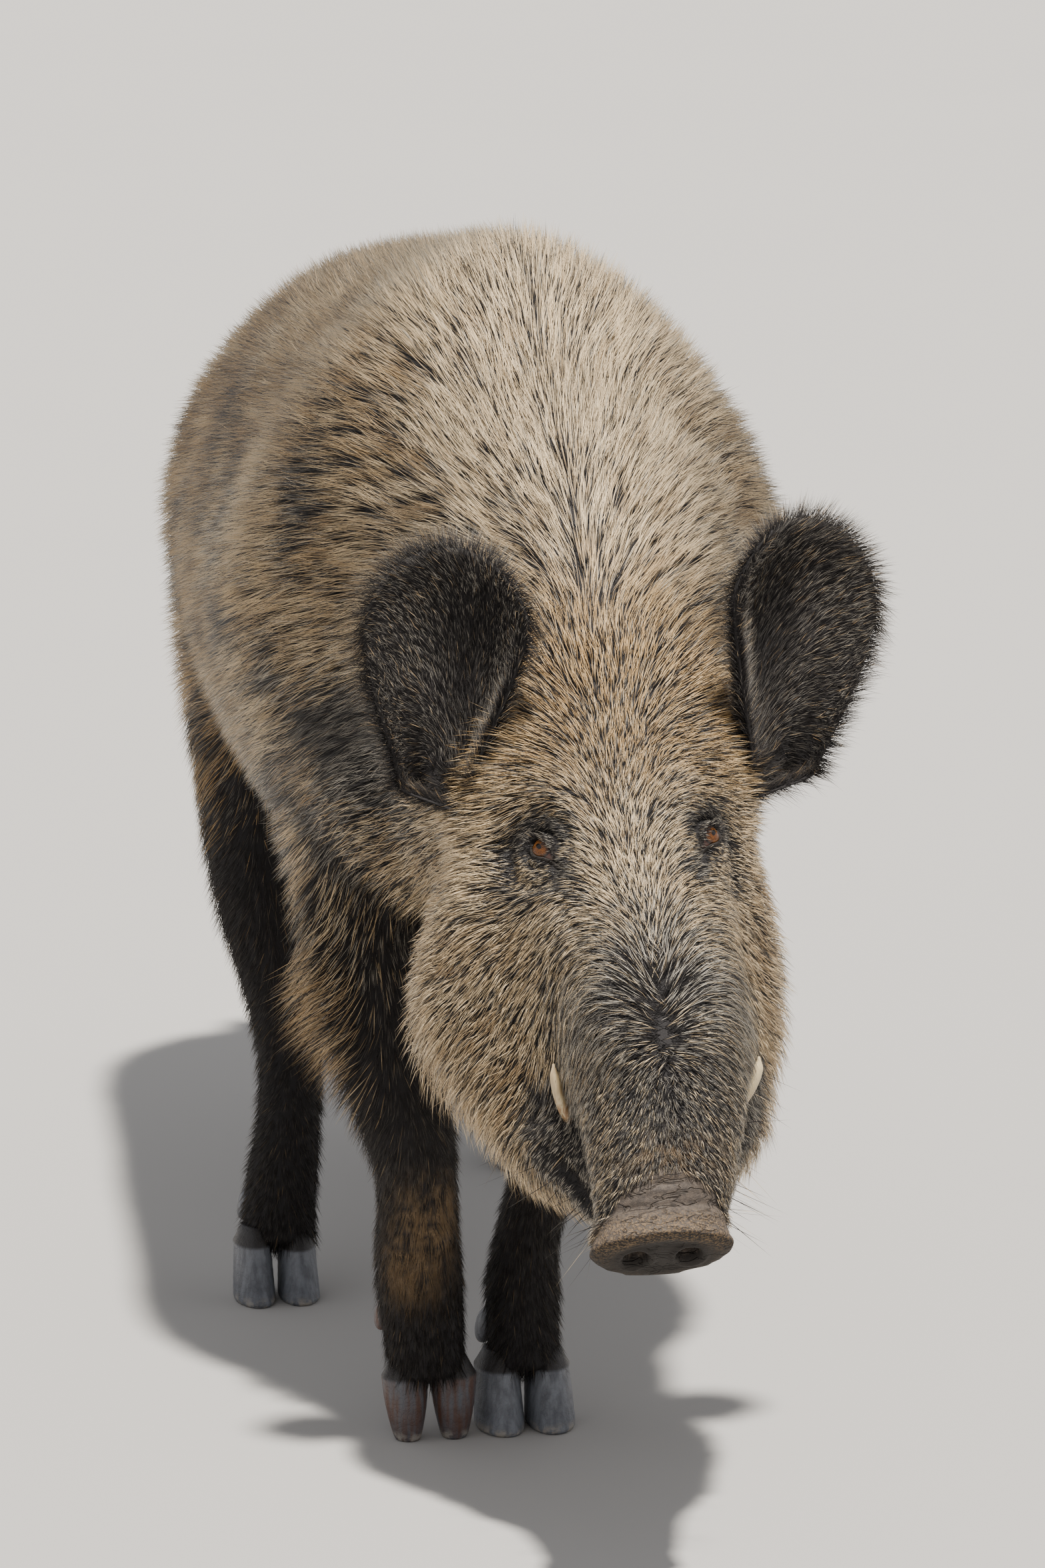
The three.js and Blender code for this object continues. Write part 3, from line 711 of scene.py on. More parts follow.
    # bare places: the snout's pad and disc, the lips and the eyes' openings
    gape = deep - mouthDeep(along)
    lips = head * smooth(0.345, 0.365, along) * hump(gape, 0.001, 0.0040)
    padEdge = 0.402 + 0.9 * away ** 2 / 0.05 + 0.010 * (mottle(points, 0.008, 4) - 0.5)
    pad = head * smooth(padEdge - 0.002, padEdge + 0.002, along) * fade(0.062, 0.075, deep)
    pad = np.maximum(pad, head * smooth(0.436, 0.440, along))
    openings, bags, lidSkinAndBrowShade = np.zeros((3, len(points)))
    for name in eyes:
        inward, upward, _ = eyeSpots(points, name)
        offset = points - eyes[name]["centre"]
        near = np.linalg.norm(offset, axis=1) < 0.045
        gap = lidGap(inward, upward)
        openings = np.maximum(openings, near * fade(0.0010, 0.0024, gap))
        shade = np.hypot(inward - 0.006, upward + 0.017)
        bags = np.maximum(bags, near * fade(0.010, 0.021, shade))
        level, rise = offset @ eyes[name]["level"], offset @ eyes[name]["rise"]
        # arch: dark brow hair over each eye with painted shade under the brow fold; the rims and the bag's
        # outline are the lids' own dark skin
        arch = hump(np.hypot(0.80 * level, rise), 0.0150, 0.0085) * smooth(-0.008, 0.004, rise)
        under = hump(shade, 0.0165, 0.0045) * (rise < 0)
        rims = np.maximum(1 - smooth(0.004, 0.009, gap), 0.7 * under)
        lidSkinAndBrowShade = np.maximum(lidSkinAndBrowShade, near * np.maximum(arch, rims) * (1 - 0.8 * bags))
    lipSide = head * smooth(0.30, 0.33, along) * fade(0.405, 0.42, along)
    lipSide = lipSide * hump(gape, -0.018, 0.012) * smooth(0.035, 0.045, away)
    bare = np.clip(np.maximum.reduce([pad, lips, openings, 0.25 * lipSide]), 0, 1)

    # markings
    patch = mottle(points * [1, 0.6, 1.2], 0.055, 2)
    flecks = mottle(points, 0.018, 3)
    cream = 0.74 + 0.9 * (patch - 0.5) + 0.4 * (flecks - 0.5) - 0.25 * smooth(0.0, 0.4, y)
    mane = np.clip(ridge + neck * topness, 0, 1)
    cream = mixed(cream, 0.95 + 0.3 * (flecks - 0.5), mane * fade(0.25, 0.5, y))
    brows = hump(along, 0.130, 0.030) * smooth(0.045, 0.075, away) * (deep < 0.09)
    headCream = 0.55 + 0.35 * (flecks - 0.5) + 0.40 * brows + 0.35 * ruff
    headCream = headCream + 0.35 * face * hump(along, 0.22, 0.09)
    cream = mixed(cream, mixed(headCream, 0.95, np.maximum(muzzle, arcs)), head)
    crown = smooth(-0.05, 0.02, along) * fade(0.10, 0.17, along) * fade(0.07, 0.12, away)
    crown = crown * fade(0.05, 0.10, deep)
    ochre = 0.20 + 0.6 * (mottle(points, 0.09, 6) - 0.35) * (1 - neck * topness)
    ochre = ochre + 0.25 * smooth(0.3, 0.6, y) * fade(0.6, 0.95, topness)
    ochre = ochre + 0.35 * hump(z, 0.40, 0.1) * hump(y, 0.5, 0.2) * (x < 0)
    for amount, share in ((0.28, 0.7 * head), (0.85, crown), (0.14, jaw * head), (0.22, muzzle * head)):
        ochre = mixed(ochre, amount, share)
    # painted shadow of each ear on the neck behind the cheek
    earShadow = np.exp(-((np.abs(out) - 0.150) / 0.050) ** 2 - ((along - 0.045) / 0.060) ** 2
                    - ((deep - 0.150) / 0.080) ** 2)
    cheekBack = smooth(0.10, 0.16, deep) * fade(0.22, 0.27, deep) * fade(0.0, 0.10, along)
    blotch = mottle(points * [1, 0.8, 1.1], 0.026, 14)
    dark = 0.20 + 0.5 * np.clip(0.42 - patch, 0, 1)
    dark = dark + 0.55 * smooth(0.46, 0.70, blotch) * fade(0.0, 0.5, topness)
    # painted shade: darker where the skin faces down, and on the chest
    dark = dark + 0.35 * smooth(-0.3, 0.5, -normals[:, 2]) * (1 - head) + 0.25 * chest
    dark = mixed(dark, 0.22, mane)
    dark = dark + 0.25 * neck * (1 - topness) * fade(0.50, 0.62, z)
    stocking = legs * fade(0.29, 0.41, z)
    for amount, share in ((1.03, stocking), (1.03, low), (0.15, 0.8 * elbow), (0.55, tail)):
        dark = mixed(dark, amount, share)
    cream = mixed(cream, 0.12, stocking)
    strip = hump(out, 0.0, 0.010) * smooth(0.335, 0.35, along) * fade(0.395, 0.41, along)
    greyNose = smooth(0.20, 0.27, along) * fade(0.045, 0.075, away)
    onHead = 0.24 + 0.34 * arcs + 0.24 * greyNose + 0.08 * smooth(0.30, 0.34, along)
    onHead = onHead + 0.22 * strip + 0.3 * cheekBack
    cornerPlace = np.hypot((along - 0.330) / 0.055, (gape + 0.006) / 0.032)
    beside = 1 - smooth(0.070, 0.084, away)
    onHead = onHead + 0.8 * fade(0.5, 1.1, cornerPlace) * beside + 0.55 * lipSide * beside
    flanks = muzzle * smooth(0.036, 0.050, away) * smooth(0.045, 0.065, deep)
    onHead = onHead + 0.14 * muzzle + 0.40 * flanks + 0.12 * face
    onHead = np.maximum(onHead, 0.38 * bags)
    # painted shade in the eye sockets, and the lids' dark skin with painted shade under the brows
    onHead = onHead + 0.16 * fade(0.026, 0.050, nearEye) + 0.70 * lidSkinAndBrowShade + openings
    cream = mixed(cream, 0.95, 0.8 * bags * head)
    dark = np.clip(mixed(dark, onHead, head) + 0.75 * earShadow, 0, 1)
    shin = shares[1] * hump(x + 0.088, 0.006 * np.sin(40 * z), 0.021) * smooth(0.09, 0.14, z)
    shin = shin * fade(0.17, 0.215, z) * smooth(0.1, 0.6, -normals[:, 1])
    mud = 0.8 * np.clip(shin * 1.5, 0, 1) * smooth(0.36, 0.62, mottle(points, 0.0035, 8))
    rimShare = smooth(0.6, 0.9, discRing(out, deep))
    crumbs = smooth(0.425, 0.44, along) * rimShare * (1 - 0.8 * smooth(0.02, 0.05, deep))
    speckle = smooth(0.46, 0.62, mottle(points, 0.003, 9))
    onBridge = hump(along, 0.394, 0.012) * hump(out, 0.004, 0.030) * (deep < 0.06)
    crumbs = np.maximum(0.75 * crumbs, onBridge * speckle)
    mud = np.maximum(mud, 0.7 * head * crumbs)
    # the disc's face made as dark as the lips: painted shade over its own dark skin
    disc = head * smooth(0.444, 0.449, along)
    dark = mixed(dark, 0.1, pad)
    dark = np.maximum(dark, disc)
    marks = np.clip(columns(cream, ochre, dark, mud), 0, 1)
    return {"flow": flow, "length": length, "lift": np.radians(lift), "width": width, "spacing": spacing,
            "bend": bend, "clump": clump, "bare": bare, "marks": marks, "head": head, "tail": tail,
            "shares": shares, "face": face}


rootGrid = {"cell": 0.004, "bits": 10}  # the roots are drawn in the order of these small cells


def sampleRoots(points, normals, triangles, spacings, *others):
    # Even random places over the triangles, one for each square of its spacing, with what the points carry.
    corners = points[triangles]
    area = np.linalg.norm(np.cross(corners[:, 1] - corners[:, 0], corners[:, 2] - corners[:, 0]), axis=1) / 2
    middle = corners.mean(axis=1)
    cells = np.clip((middle - middle.min(axis=0)) / rootGrid["cell"], 0, 2 ** rootGrid["bits"] - 1)
    cells = cells.astype(np.int64)
    order = np.zeros(len(cells), np.int64)
    for bit in range(rootGrid["bits"]):
        for axis in range(3):
            order |= ((cells[:, axis] >> bit) & 1) << (3 * bit + axis)
    sequence = np.argsort(order, kind="stable")
    wanted = (area / spacings ** 2)[sequence]
    total = np.cumsum(wanted)
    count = int(total[-1])
    picks = (np.arange(count) + random.random(count)) / count * total[-1]
    chosen = sequence[np.minimum(np.searchsorted(total, picks), len(sequence) - 1)]
    first, second = random.random(count), random.random(count)
    over = first + second > 1
    first, second = np.where(over, 1 - first, first), np.where(over, 1 - second, second)
    weights = np.stack([1 - first - second, first, second], -1)
    found = [np.einsum("nk,nkj->nj", weights, values[triangles[chosen]])
             for values in (points, normals, *others)]
    return found[0], unit(found[1]), *found[2:]


tuftMake = {"clump": 22, "reach": 0.017, "patch": 0.0013}


def growCoat(name, roots, normals, coat, spots, rings=2):
    # One joined mesh of tapered locks, each rooted in the skin and bent back along the body.
    count = len(roots)
    flow, length = coat["flow"], coat["length"]
    length = length * random.uniform(0.70, 1.18, count)
    lift = coat["lift"] * random.uniform(0.55, 1.35, count)
    across = unit(np.cross(normals, flow))
    sway = 0.30 * (mottle(roots, 0.012, 11) - 0.5) + 0.24 * (mottle(roots, 0.040, 12) - 0.5)
    sway = sway + random.normal(0, 0.15, count)
    way = unit(flow + across * sway[:, None])
    across = unit(np.cross(normals, way))
    curve = (coat["bend"] + 0.16 * (mottle(roots, 0.022, 13) - 0.5) + random.normal(0, 0.05, count))[:, None]
    rise, ahead = np.sin(lift)[:, None], np.cos(lift)[:, None]
    reach = length[:, None]
    base = roots - normals * np.minimum(0.0015, 0.07 * length)[:, None]
    half = base + reach * (0.47 * ahead * way + 0.50 * rise * normals + 0.5 * curve * across)
    tip = base + reach * (ahead * way + 0.72 * rise * normals + curve * across)
    tip[:, 2] -= 0.06 * length * (1 - coat["head"])
    leaders = np.flatnonzero(random.random(count) < 1 / tuftMake["clump"])
    tree = kdtree.KDTree(len(leaders))
    for spot, leader in enumerate(leaders):
        tree.insert(roots[leader], spot)
    tree.balance()
    found = [tree.find(root) for root in roots]
    leader = leaders[np.array([item[1] for item in found])]
    close = 1 - smooth(0.5, 1.0, np.array([item[2] for item in found]) / tuftMake["reach"])
    pull = (coat["clump"] * close * random.uniform(0.4, 1.2, count))[:, None]
    offset = roots[leader] - roots
    half += 0.35 * pull * offset
    tip += pull * (offset + 0.25 * (tip[leader] - tip - offset))
    turn = random.uniform(0, 2 * math.pi, count)
    thick = coat["width"] * random.uniform(0.75, 1.25, count)
    stations = [(base, 1.0), (half, 0.80)][:rings]
    corners = []
    for middle, scale in stations:
        for corner in range(3):
            angle = turn + corner * 2 * math.pi / 3
            corners.append(middle + across * (np.cos(angle) * thick * scale / 2)[:, None]
                           + normals * (np.sin(angle) * thick * scale * 0.32)[:, None])
    points = np.stack(corners + [tip], axis=1).reshape(-1, 3)
    pattern, column, row, each = [], [], [], []
    for ring in range(rings - 1):
        for corner in range(3):
            after = (corner + 1) % 3
            pattern += [3 * ring + corner, 3 * ring + after, 3 * ring + 3 + after, 3 * ring + 3 + corner]
            column += [corner, corner + 1, corner + 1, corner]
            row += [ring, ring, ring + 1, ring + 1]
            each.append(4)
    for corner in range(3):
        pattern += [3 * rings - 3 + corner, 3 * rings - 3 + (corner + 1) % 3, 3 * rings]
        column += [corner, corner + 1, corner + 0.5]
        row += [rings - 1, rings - 1, rings]
        each.append(3)
    size = 3 * rings + 1
    start = (np.arange(count) * size)[:, None]
    piece = newMesh(name, points, start + np.array(pattern), np.tile(each, count))
    mesh = piece.data
    unwrap = mesh.uv_layers.new(name="OFBake")
    patch = np.stack([np.array(column) / 1.5 - 1, np.array(row) * 2 / rings - 1], -1) * tuftMake["patch"]
    unwrap.data.foreach_set("uv", (spots[:, None, :] + patch[None]).astype(np.float32).ravel())
    addAttribute(mesh, "reach", "FLOAT", np.tile([0, 0, 0, 0.5, 0.5, 0.5][:3 * rings] + [1.0], count))
    chance = random.random(count)
    chance = mixed(chance, chance[leader], np.minimum(1.15 * coat["clump"], 0.8) * close)
    addAttribute(mesh, "chance", "FLOAT", np.repeat(chance, size))
    addAttribute(mesh, "marks", "FLOAT_COLOR", np.repeat(coat["marks"], size, axis=0))
    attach(piece, "root")
    print(name + ":", count, "locks")
    return piece


def pick(coat, chosen):
    return {key: (value[:, chosen] if key == "shares" else value[chosen]) for key, value in coat.items()}


def rolled(points, centre, axis, start):
    # An unwrap round an axis: how far along it, and the turn round it from the start direction.
    offset = points - centre
    axis = unit(np.asarray(axis, float))
    first = unit(np.asarray(start, float) - axis * np.dot(axis, start))
    second = np.cross(axis, first)
    along = offset @ axis
    turn = np.arctan2(offset @ second, offset @ first) / (2 * math.pi) + 0.5
    along = (along - along.min()) / max(np.ptp(along), 1e-6)
    return np.stack([0.01 + 0.98 * along, 0.01 + 0.98 * turn], -1)


headMiddle = inHead(0, 0.2, 0.09)


def growBody():
    mesh = skin.data
    points, normals, triangles = pointsOf(mesh), normalsOf(mesh), trianglesOf(mesh)
    middle = points[triangles].mean(axis=1)
    facing = unit(normals[triangles].sum(axis=1))
    coat = coatAt(middle, facing)
    spacing = coat["spacing"] / np.sqrt(np.clip(1 - coat["bare"], 1e-4, 1))
    spacing = np.where(middle[:, 2] < 0.028, 1.0, spacing)
    roots, rootNormals = sampleRoots(points, normals, triangles, spacing)
    coat = coatAt(roots, rootNormals)
    keep = coat["bare"] < 0.5 + 0.5 * random.random(len(roots))
    roots, rootNormals, coat = roots[keep], rootNormals[keep], pick(coat, keep)
    out, along, deep = headSpots(roots)
    x, y = roots[:, 0], roots[:, 1] - withersY
    onHead, onTail = coat["head"] > 0.5, coat["tail"] > 0.5
    onLeg = (coat["shares"].max(axis=0) > 0.5) & ~onHead & ~onTail
    legOf = coat["shares"].argmax(axis=0)
    rest = ~onHead & ~onTail & ~onLeg
    areas = []
    front = onHead & (coat["face"] > 0.5)
    brow = along < 0.235
    areas += [("coat_brow", front & brow), ("coat_muzzle", front & ~brow)]
    for label, half in (("left", out > 0), ("right", out <= 0)):
        areas += [("coat_cheek_" + label, onHead & ~front & half & (deep < 0.10))]
        areas += [("coat_jaw_" + label, onHead & ~front & half & (deep >= 0.10))]
    areas = [(name, mask, headMiddle, headAxes[:, 1], headAxes[:, 2], "bristle_coat") for name, mask in areas]
    for index, leg in enumerate(legNames):
        mask = onLeg & (legOf == index)
        rows = np.array(legLines[leg])
        centre = np.array([rows[3, 1], rows[3, 2] + withersY, 0.2])
        areas.append(("coat_leg_" + leg, mask, centre, (0, 0, 1), (0, 1, 0), "dark_coat"))
    tailMiddle = np.array([0.01, 0.885 + withersY, 0.5])
    areas.append(("coat_tail", onTail, tailMiddle, (0, 0, 1), (0, -1, 0), "bristle_coat"))
    bounds = [-9, -0.04, 0.20, 0.46, 9]
    for index, place in enumerate(("neck", "shoulder", "flank", "rump")):
        zone = rest & (y > bounds[index]) & (y <= bounds[index + 1])
        for label, half in (("left", x > 0), ("right", x <= 0)):
            start = (1 if label == "right" else -1, 0, 0)
            areas.append(("coat_" + place + "_" + label, zone & half, np.array([0.0, 0.0, 0.52]),
                          (0, 1, 0.001), start, "bristle_coat"))
    grown = []
    for index, (name, mask, centre, axis, start, slot) in enumerate(areas):
        if mask.any():
            spots = rolled(roots[mask], centre, axis, start)
            rings = 2 if index < 6 else 1  # the face's locks are bent, the rest are straight bristles
            grown.append(growCoat(name, roots[mask], rootNormals[mask], pick(coat, mask), spots, rings))
    return grown


earCoat = {"length": 0.0185, "edgeLength": 0.024, "lift": 34, "width": 0.00054, "spacing": 0.00150}


def earHollowShade(side, across, rise):
    # Painted shade in the ear's hollow, near its inner edge.
    inner = -ears[side]["outward"] * across
    return np.exp(-((inner - 0.25 + 0.5 * (rise - 0.35)) / 0.34) ** 2 - ((rise - 0.36) / 0.26) ** 2)


def earMarks(side, across, rise, points):
    # Dark, with a browner foot, a little grizzling at the edges, and painted shade in the hollow.
    foot = 1 - smooth(0.0, 0.22, rise)
    edge = smooth(0.75, 1.0, np.maximum(np.abs(across), rise))
    cream = 0.34 - 0.10 * edge - 0.2 * foot + 0.2 * (mottle(points, 0.012, 21) - 0.5)
    cream = cream * (1 - earHollowShade(side, across, rise))
    dark = 0.97 + 0.08 * earHollowShade(side, across, rise)
    return np.clip(columns(cream, 0.25, dark, 0.0), 0, 1)


def growEar(side):
    piece, tips, across, rise = earPieces[side]
    mesh = piece.data
    points, normals, triangles = pointsOf(mesh), normalsOf(mesh), trianglesOf(mesh)
    facts = np.concatenate([tips, across[:, None], rise[:, None]], axis=1)
    spacings = np.full(len(triangles), earCoat["spacing"])
    roots, rootNormals, facts = sampleRoots(points, normals, triangles, spacings, facts)
    keep = facts[:, 4] > -0.17
    roots, rootNormals, facts = roots[keep], rootNormals[keep], facts[keep]
    flow, across, rise = facts[:, :3], facts[:, 3], facts[:, 4]
    up, sideways, ahead = earAxes(side)
    outward = ears[side]["outward"]
    fan = across + 0.25 * outward  # the hair spreads from the hollow out to the edges
    drop = np.clip(0.45 - rise, 0, 1) * smooth(0.0, 0.6, fan * outward)
    flow = unit(flow) + 1.1 * fan[:, None] * sideways - 2.4 * drop[:, None] * up
    flow = unit(flow - rootNormals * np.sum(flow * rootNormals, axis=1)[:, None])
    edge = smooth(0.7, 1.0, np.maximum(np.abs(across), rise))
    count = len(roots)
    coat = {
        "flow": flow, "length": mixed(earCoat["length"], earCoat["edgeLength"], edge),
        "lift": np.radians(earCoat["lift"] + 14 * edge), "width": np.full(count, earCoat["width"]),
        "head": np.ones(count), "clump": np.full(count, 0.2), "bend": np.zeros(count),
        "marks": earMarks(side, across, rise, roots),
    }
    half = np.where(np.sum(rootNormals * ahead, axis=1) > 0, 0.0, 0.5)
    spots = columns(0.01 + half + 0.48 * (across + 1) / 2, 0.01 + 0.98 * np.clip((rise + 0.1) / 1.1, 0, 1))
    return growCoat("coat_ear_" + side, roots, rootNormals, coat, spots, 1)


coatPieces = growBody() + [growEar(side) for side in ears]


def joinSkin():
    # The ears' leaves become part of the one skin, which then gets the same markings as its coat.
    parts = [skin] + [earPieces[side][0] for side in ears] + [lidPieces[side][0] for side in eyes]
    points, faces, sides, start = [], [], [], 0
    for part in parts:
        mesh = part.data
        corner = np.empty(len(mesh.loops), np.int32)
        mesh.loops.foreach_get("vertex_index", corner)
        total = np.empty(len(mesh.polygons), np.int32)
        mesh.polygons.foreach_get("loop_total", total)
        points.append(pointsOf(mesh))
        faces.append(corner + start)
        sides.append(total)
        start += len(mesh.vertices)
    coat = coatAt(points[0], normalsOf(skin.data))
    marks, bare = [coat["marks"]], [coat["bare"]]
    for side in ears:
        _, _, across, rise = earPieces[side]
        marks.append(earMarks(side, across, rise, pointsOf(earPieces[side][0].data)))
        bare.append(np.zeros(len(across)))
    for side in eyes:
        marks.append(lidPieces[side][1])
        bare.append(np.ones(len(lidPieces[side][1])))
    for part in parts:
        bpy.data.objects.remove(part)
    whole = newMesh("boar_skin", np.concatenate(points), np.concatenate(faces), np.concatenate(sides))
    addAttribute(whole.data, "marks", "FLOAT_COLOR", np.concatenate(marks))
    addAttribute(whole.data, "bare", "FLOAT", np.concatenate(bare))
    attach(whole, "root")
    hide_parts(*fleshNames, "ear_left", "ear_right")
    return whole


# Lashes on the upper lids, and long whiskers on the lips and chin.
lashMake = {"perEye": 34, "length": 0.0095, "whiskers": 90, "whiskerLength": (0.028, 0.055)}


def growLashes():
    roots, normals, flows = [], [], []
    wide, tall = eyeLook["opening"]
    for name in eyes:
        eye = eyes[name]
        for turn in np.linspace(0.30, 1.15, lashMake["perEye"]) * math.pi:
            inward, upward = wide * 1.06 * math.cos(turn), tall * 1.12 * math.sin(turn)
            ahead = math.sqrt(0.0130 ** 2 - inward ** 2 - upward ** 2)
            spot = eye["inward"] * inward + eye["upward"] * upward + eye["sight"] * ahead
            roots.append(eye["centre"] + spot)
            normals.append(unit(spot))
            flows.append(unit(0.25 * eye["rise"] + 0.9 * eye["sight"] - 0.45 * eye["level"]))
    lashes = len(roots)
    points, skinNormals = pointsOf(skin.data), normalsOf(skin.data)
    out, along, deep = headSpots(points)
    gape = deep - mouthDeep(along)
    edge = (along > 0.27) & (along < 0.42) & (np.abs(out) > 0.02)
    edge &= (np.abs(gape) > 0.007) & (np.abs(gape) < 0.026)
    edge |= (along > 0.30) & (along < 0.40) & (skinNormals[:, 2] < -0.5) & (deep < 0.2) & (deep > 0.08)
    chosen = random.choice(np.flatnonzero(edge), lashMake["whiskers"], replace=False)
    for spot in chosen:
        side = np.sign(out[spot])
        roots.append(points[spot])
        normals.append(skinNormals[spot])
        flows.append(unit(0.9 * side * headAxes[:, 0] + 0.5 * headAxes[:, 1] + 0.5 * headAxes[:, 2]
                          + random.normal(0, 0.25, 3)))
    roots, normals, flows = np.array(roots), np.array(normals), np.array(flows)
    count = len(roots)
    long = np.arange(count) >= lashes
    low, high = lashMake["whiskerLength"]
    length = np.where(long, random.uniform(low, high, count), lashMake["length"])
    dark = np.tile([0.25, 0.1, 0.97, 0.0], (count, 1))
    dark[long & (random.random(count) < 0.4)] = [0.8, 0.1, 0.1, 0.0]
    coat = {"flow": flows, "length": length, "lift": np.full(count, 0.08), "head": np.ones(count),
            "width": np.where(long, 0.0006, 0.0007), "clump": np.zeros(count), "bend": np.zeros(count),
            "marks": dark}
    spots = rolled(roots, headMiddle, headAxes[:, 1], headAxes[:, 2])
    return growCoat("coat_lashes", roots, normals, coat, spots)


coatPieces.append(growLashes())
boarSkin = joinSkin()
print("skin: joined,", len(trianglesOf(boarSkin.data)), "triangles")


# Eyes: a ball with a raised cornea, its own z along the sight.
eyeColours = {"pupil": (0.003, 0.002, 0.002, 1), "inner": (0.120, 0.042, 0.007, 1),
              "outer": (0.030, 0.010, 0.003, 1), "rim": (0.010, 0.006, 0.005, 1),
              "white": (0.045, 0.020, 0.015, 1)}


def buildEye(side):
    around = eyeLook["around"]
    polar = np.linspace(0, math.pi, eyeLook["rings"] + 1)[1:-1]
    turn = np.arange(around) * 2 * math.pi / around
    bulge = eyeLook["radius"] + eyeLook["cornea"] * fade(0.50, 0.68, polar)
    x = (bulge * np.sin(polar))[:, None] * np.cos(turn)
    y = (bulge * np.sin(polar))[:, None] * np.sin(turn)
    z = (bulge * np.cos(polar))[:, None] * np.ones(around)
    poles = [[0, 0, bulge[0]], [0, 0, -bulge[-1]]]
    points = np.concatenate([np.stack([x, y, z], -1).reshape(-1, 3), poles])
    piece = closedTube("eyeball_" + side, points, around, mirrored=True)
    eye = eyes[side]
    axes = [np.cross(eye["upward"], eye["sight"]), eye["upward"], eye["sight"], eye["centre"]]
    piece.matrix_world = Matrix([*np.stack(axes, -1), [0, 0, 0, 1]])
    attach(piece, "root")
    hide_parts("eye_" + side)
    return piece


# Tusks: the lower canines, in the head's frame: out, along, deep, radius, in metres.
tuskRows = {
    "left": [(0.050, 0.344, 0.094, 0.0056), (0.062, 0.336, 0.085, 0.0054), (0.0735, 0.324, 0.076, 0.0046),
             (0.0790, 0.310, 0.067, 0.0028)],
    "right": [(-0.036, 0.350, 0.098, 0.0058), (-0.0490, 0.339, 0.081, 0.0051),
              (-0.0565, 0.324, 0.067, 0.0043), (-0.0590, 0.308, 0.056, 0.0025)],
}


tuskMake = {"steps": 34, "around": 20, "tip": 0.86, "sharpness": 0.55}


def buildTusk(side):
    # A tube with a rounded three-sided section, along a smooth line through the rows.
    rows = np.array(tuskRows[side])
    step = np.linspace(0, len(rows) - 1, tuskMake["steps"])
    out, along, deep, radius = (
        np.polyval(np.polyfit(np.arange(len(rows)), rows[:, column], 3), step) for column in range(4))
    rise = step / step[-1]
    spine = poll + np.stack([out, along, deep], -1) @ headAxes.T
    radius = radius * (1 - tuskMake["sharpness"] * smooth(tuskMake["tip"], 1.0, rise)) - 0.0003
    tangent = unit(np.gradient(spine, axis=0))
    wide = unit(np.cross(tangent, np.array([0.0, 0.3, 1.0])))
    other = np.cross(wide, tangent)
    turn = np.arange(tuskMake["around"]) * 2 * math.pi / tuskMake["around"]
    shape = 1 + 0.10 * np.cos(3 * turn + 0.6)
    rings = (spine[:, None] + radius[:, None, None] * shape[None, :, None]
             * (wide[:, None] * np.cos(turn)[None, :, None] + other[:, None] * np.sin(turn)[None, :, None]))
    points = np.concatenate([rings.reshape(-1, 3), spine[:1], spine[-1:] + tangent[-1:] * radius[-1]])
    piece = closedTube("tusk_smooth_" + side, points, tuskMake["around"])
    rise = np.concatenate([np.repeat(rise, tuskMake["around"]), [0, 1]])
    addAttribute(piece.data, "rise", "FLOAT", rise)
    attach(piece, "root")
    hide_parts("tusk_" + side)
    return piece


# Hooves: each claw fills the box of its solid, with a coronet that runs up under the hair.
hoofMake = {"around": 44, "rise": 26, "tips": {"front_right": 0.5}}
dewClawMake = {"around": 24, "rise": 18, "half": (9, 12, 18), "cant": 16, "pitch": 32}


def clawWay(leg, label):
    # 1 for a claw on the boar's left of its foot, -1 for one on its right.
    return (1 if label == "outer" else -1) * (1 if leg.endswith("left") else -1)


def buildHoof(leg, label):
    low, high = boxOf("hoof_" + leg + "_" + label)
    way = clawWay(leg, label)
    around, tall = hoofMake["around"], hoofMake["rise"]
    turn = np.arange(around) * 2 * math.pi / around
    rise = np.concatenate([[0, 0.012, 0.035], np.linspace(0.07, 1, tall), [1.1, 1.2, 1.3]])
    tip = hoofMake["tips"].get(leg, 1.0)
    across, back = np.cos(turn), np.sin(turn)
    bent = np.sign(across) * np.abs(across) ** 0.8
    inner = np.clip(-across * way, 0, 1)  # the side towards the other claw is flatter
    toe = np.clip(-back, 0, 1) ** 2
    points = []
    for height in rise:
        up = min(height, 1.0)
        reach = 1 - (1 - tip) * (1 - up) ** 1.5
        reach *= 1 - 0.07 * fade(0.0, 0.05, np.array(up))
        reach *= 1 - 1.3 * max(height - 1.0, 0)
        band = 1 + 0.030 * hump(np.array(height), 0.965, 0.045)
        ringing = 1 + 0.006 * math.sin(38 * up + 0.8) * (0.4 + 0.6 * up)
        x = bent * (1 - 0.14 * inner) * (1 - 0.12 * up) * (1 - 0.18 * toe)
        y = np.sign(back) * np.abs(back) ** 0.9 * (1 - 0.24 * up) * (1 + 0.06 * toe)
        x, y = x * reach * band * ringing, y * reach * band * ringing + 0.41 * up
        points.append(np.stack([x, y, np.full(around, height)], -1))
    points = np.concatenate(points)
    body = points[:, 2] <= 1.0
    for axis in range(2):
        least, most = points[body, axis].min(), points[body, axis].max()
        points[:, axis] = low[axis] + (points[:, axis] - least) / (most - least) * (high[axis] - low[axis])
    points[:, 2] = low[2] + points[:, 2] * (high[2] - low[2])
    points = np.concatenate([points, [points[:around].mean(axis=0)], [points[-around:].mean(axis=0)]])
    piece = closedTube("claw_" + leg + "_" + label, points, around)
    addAttribute(piece.data, "rise", "FLOAT", (points[:, 2] - low[2]) / (high[2] - low[2]))
    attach(piece, "root")
    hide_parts("hoof_" + leg + "_" + label)
    return piece


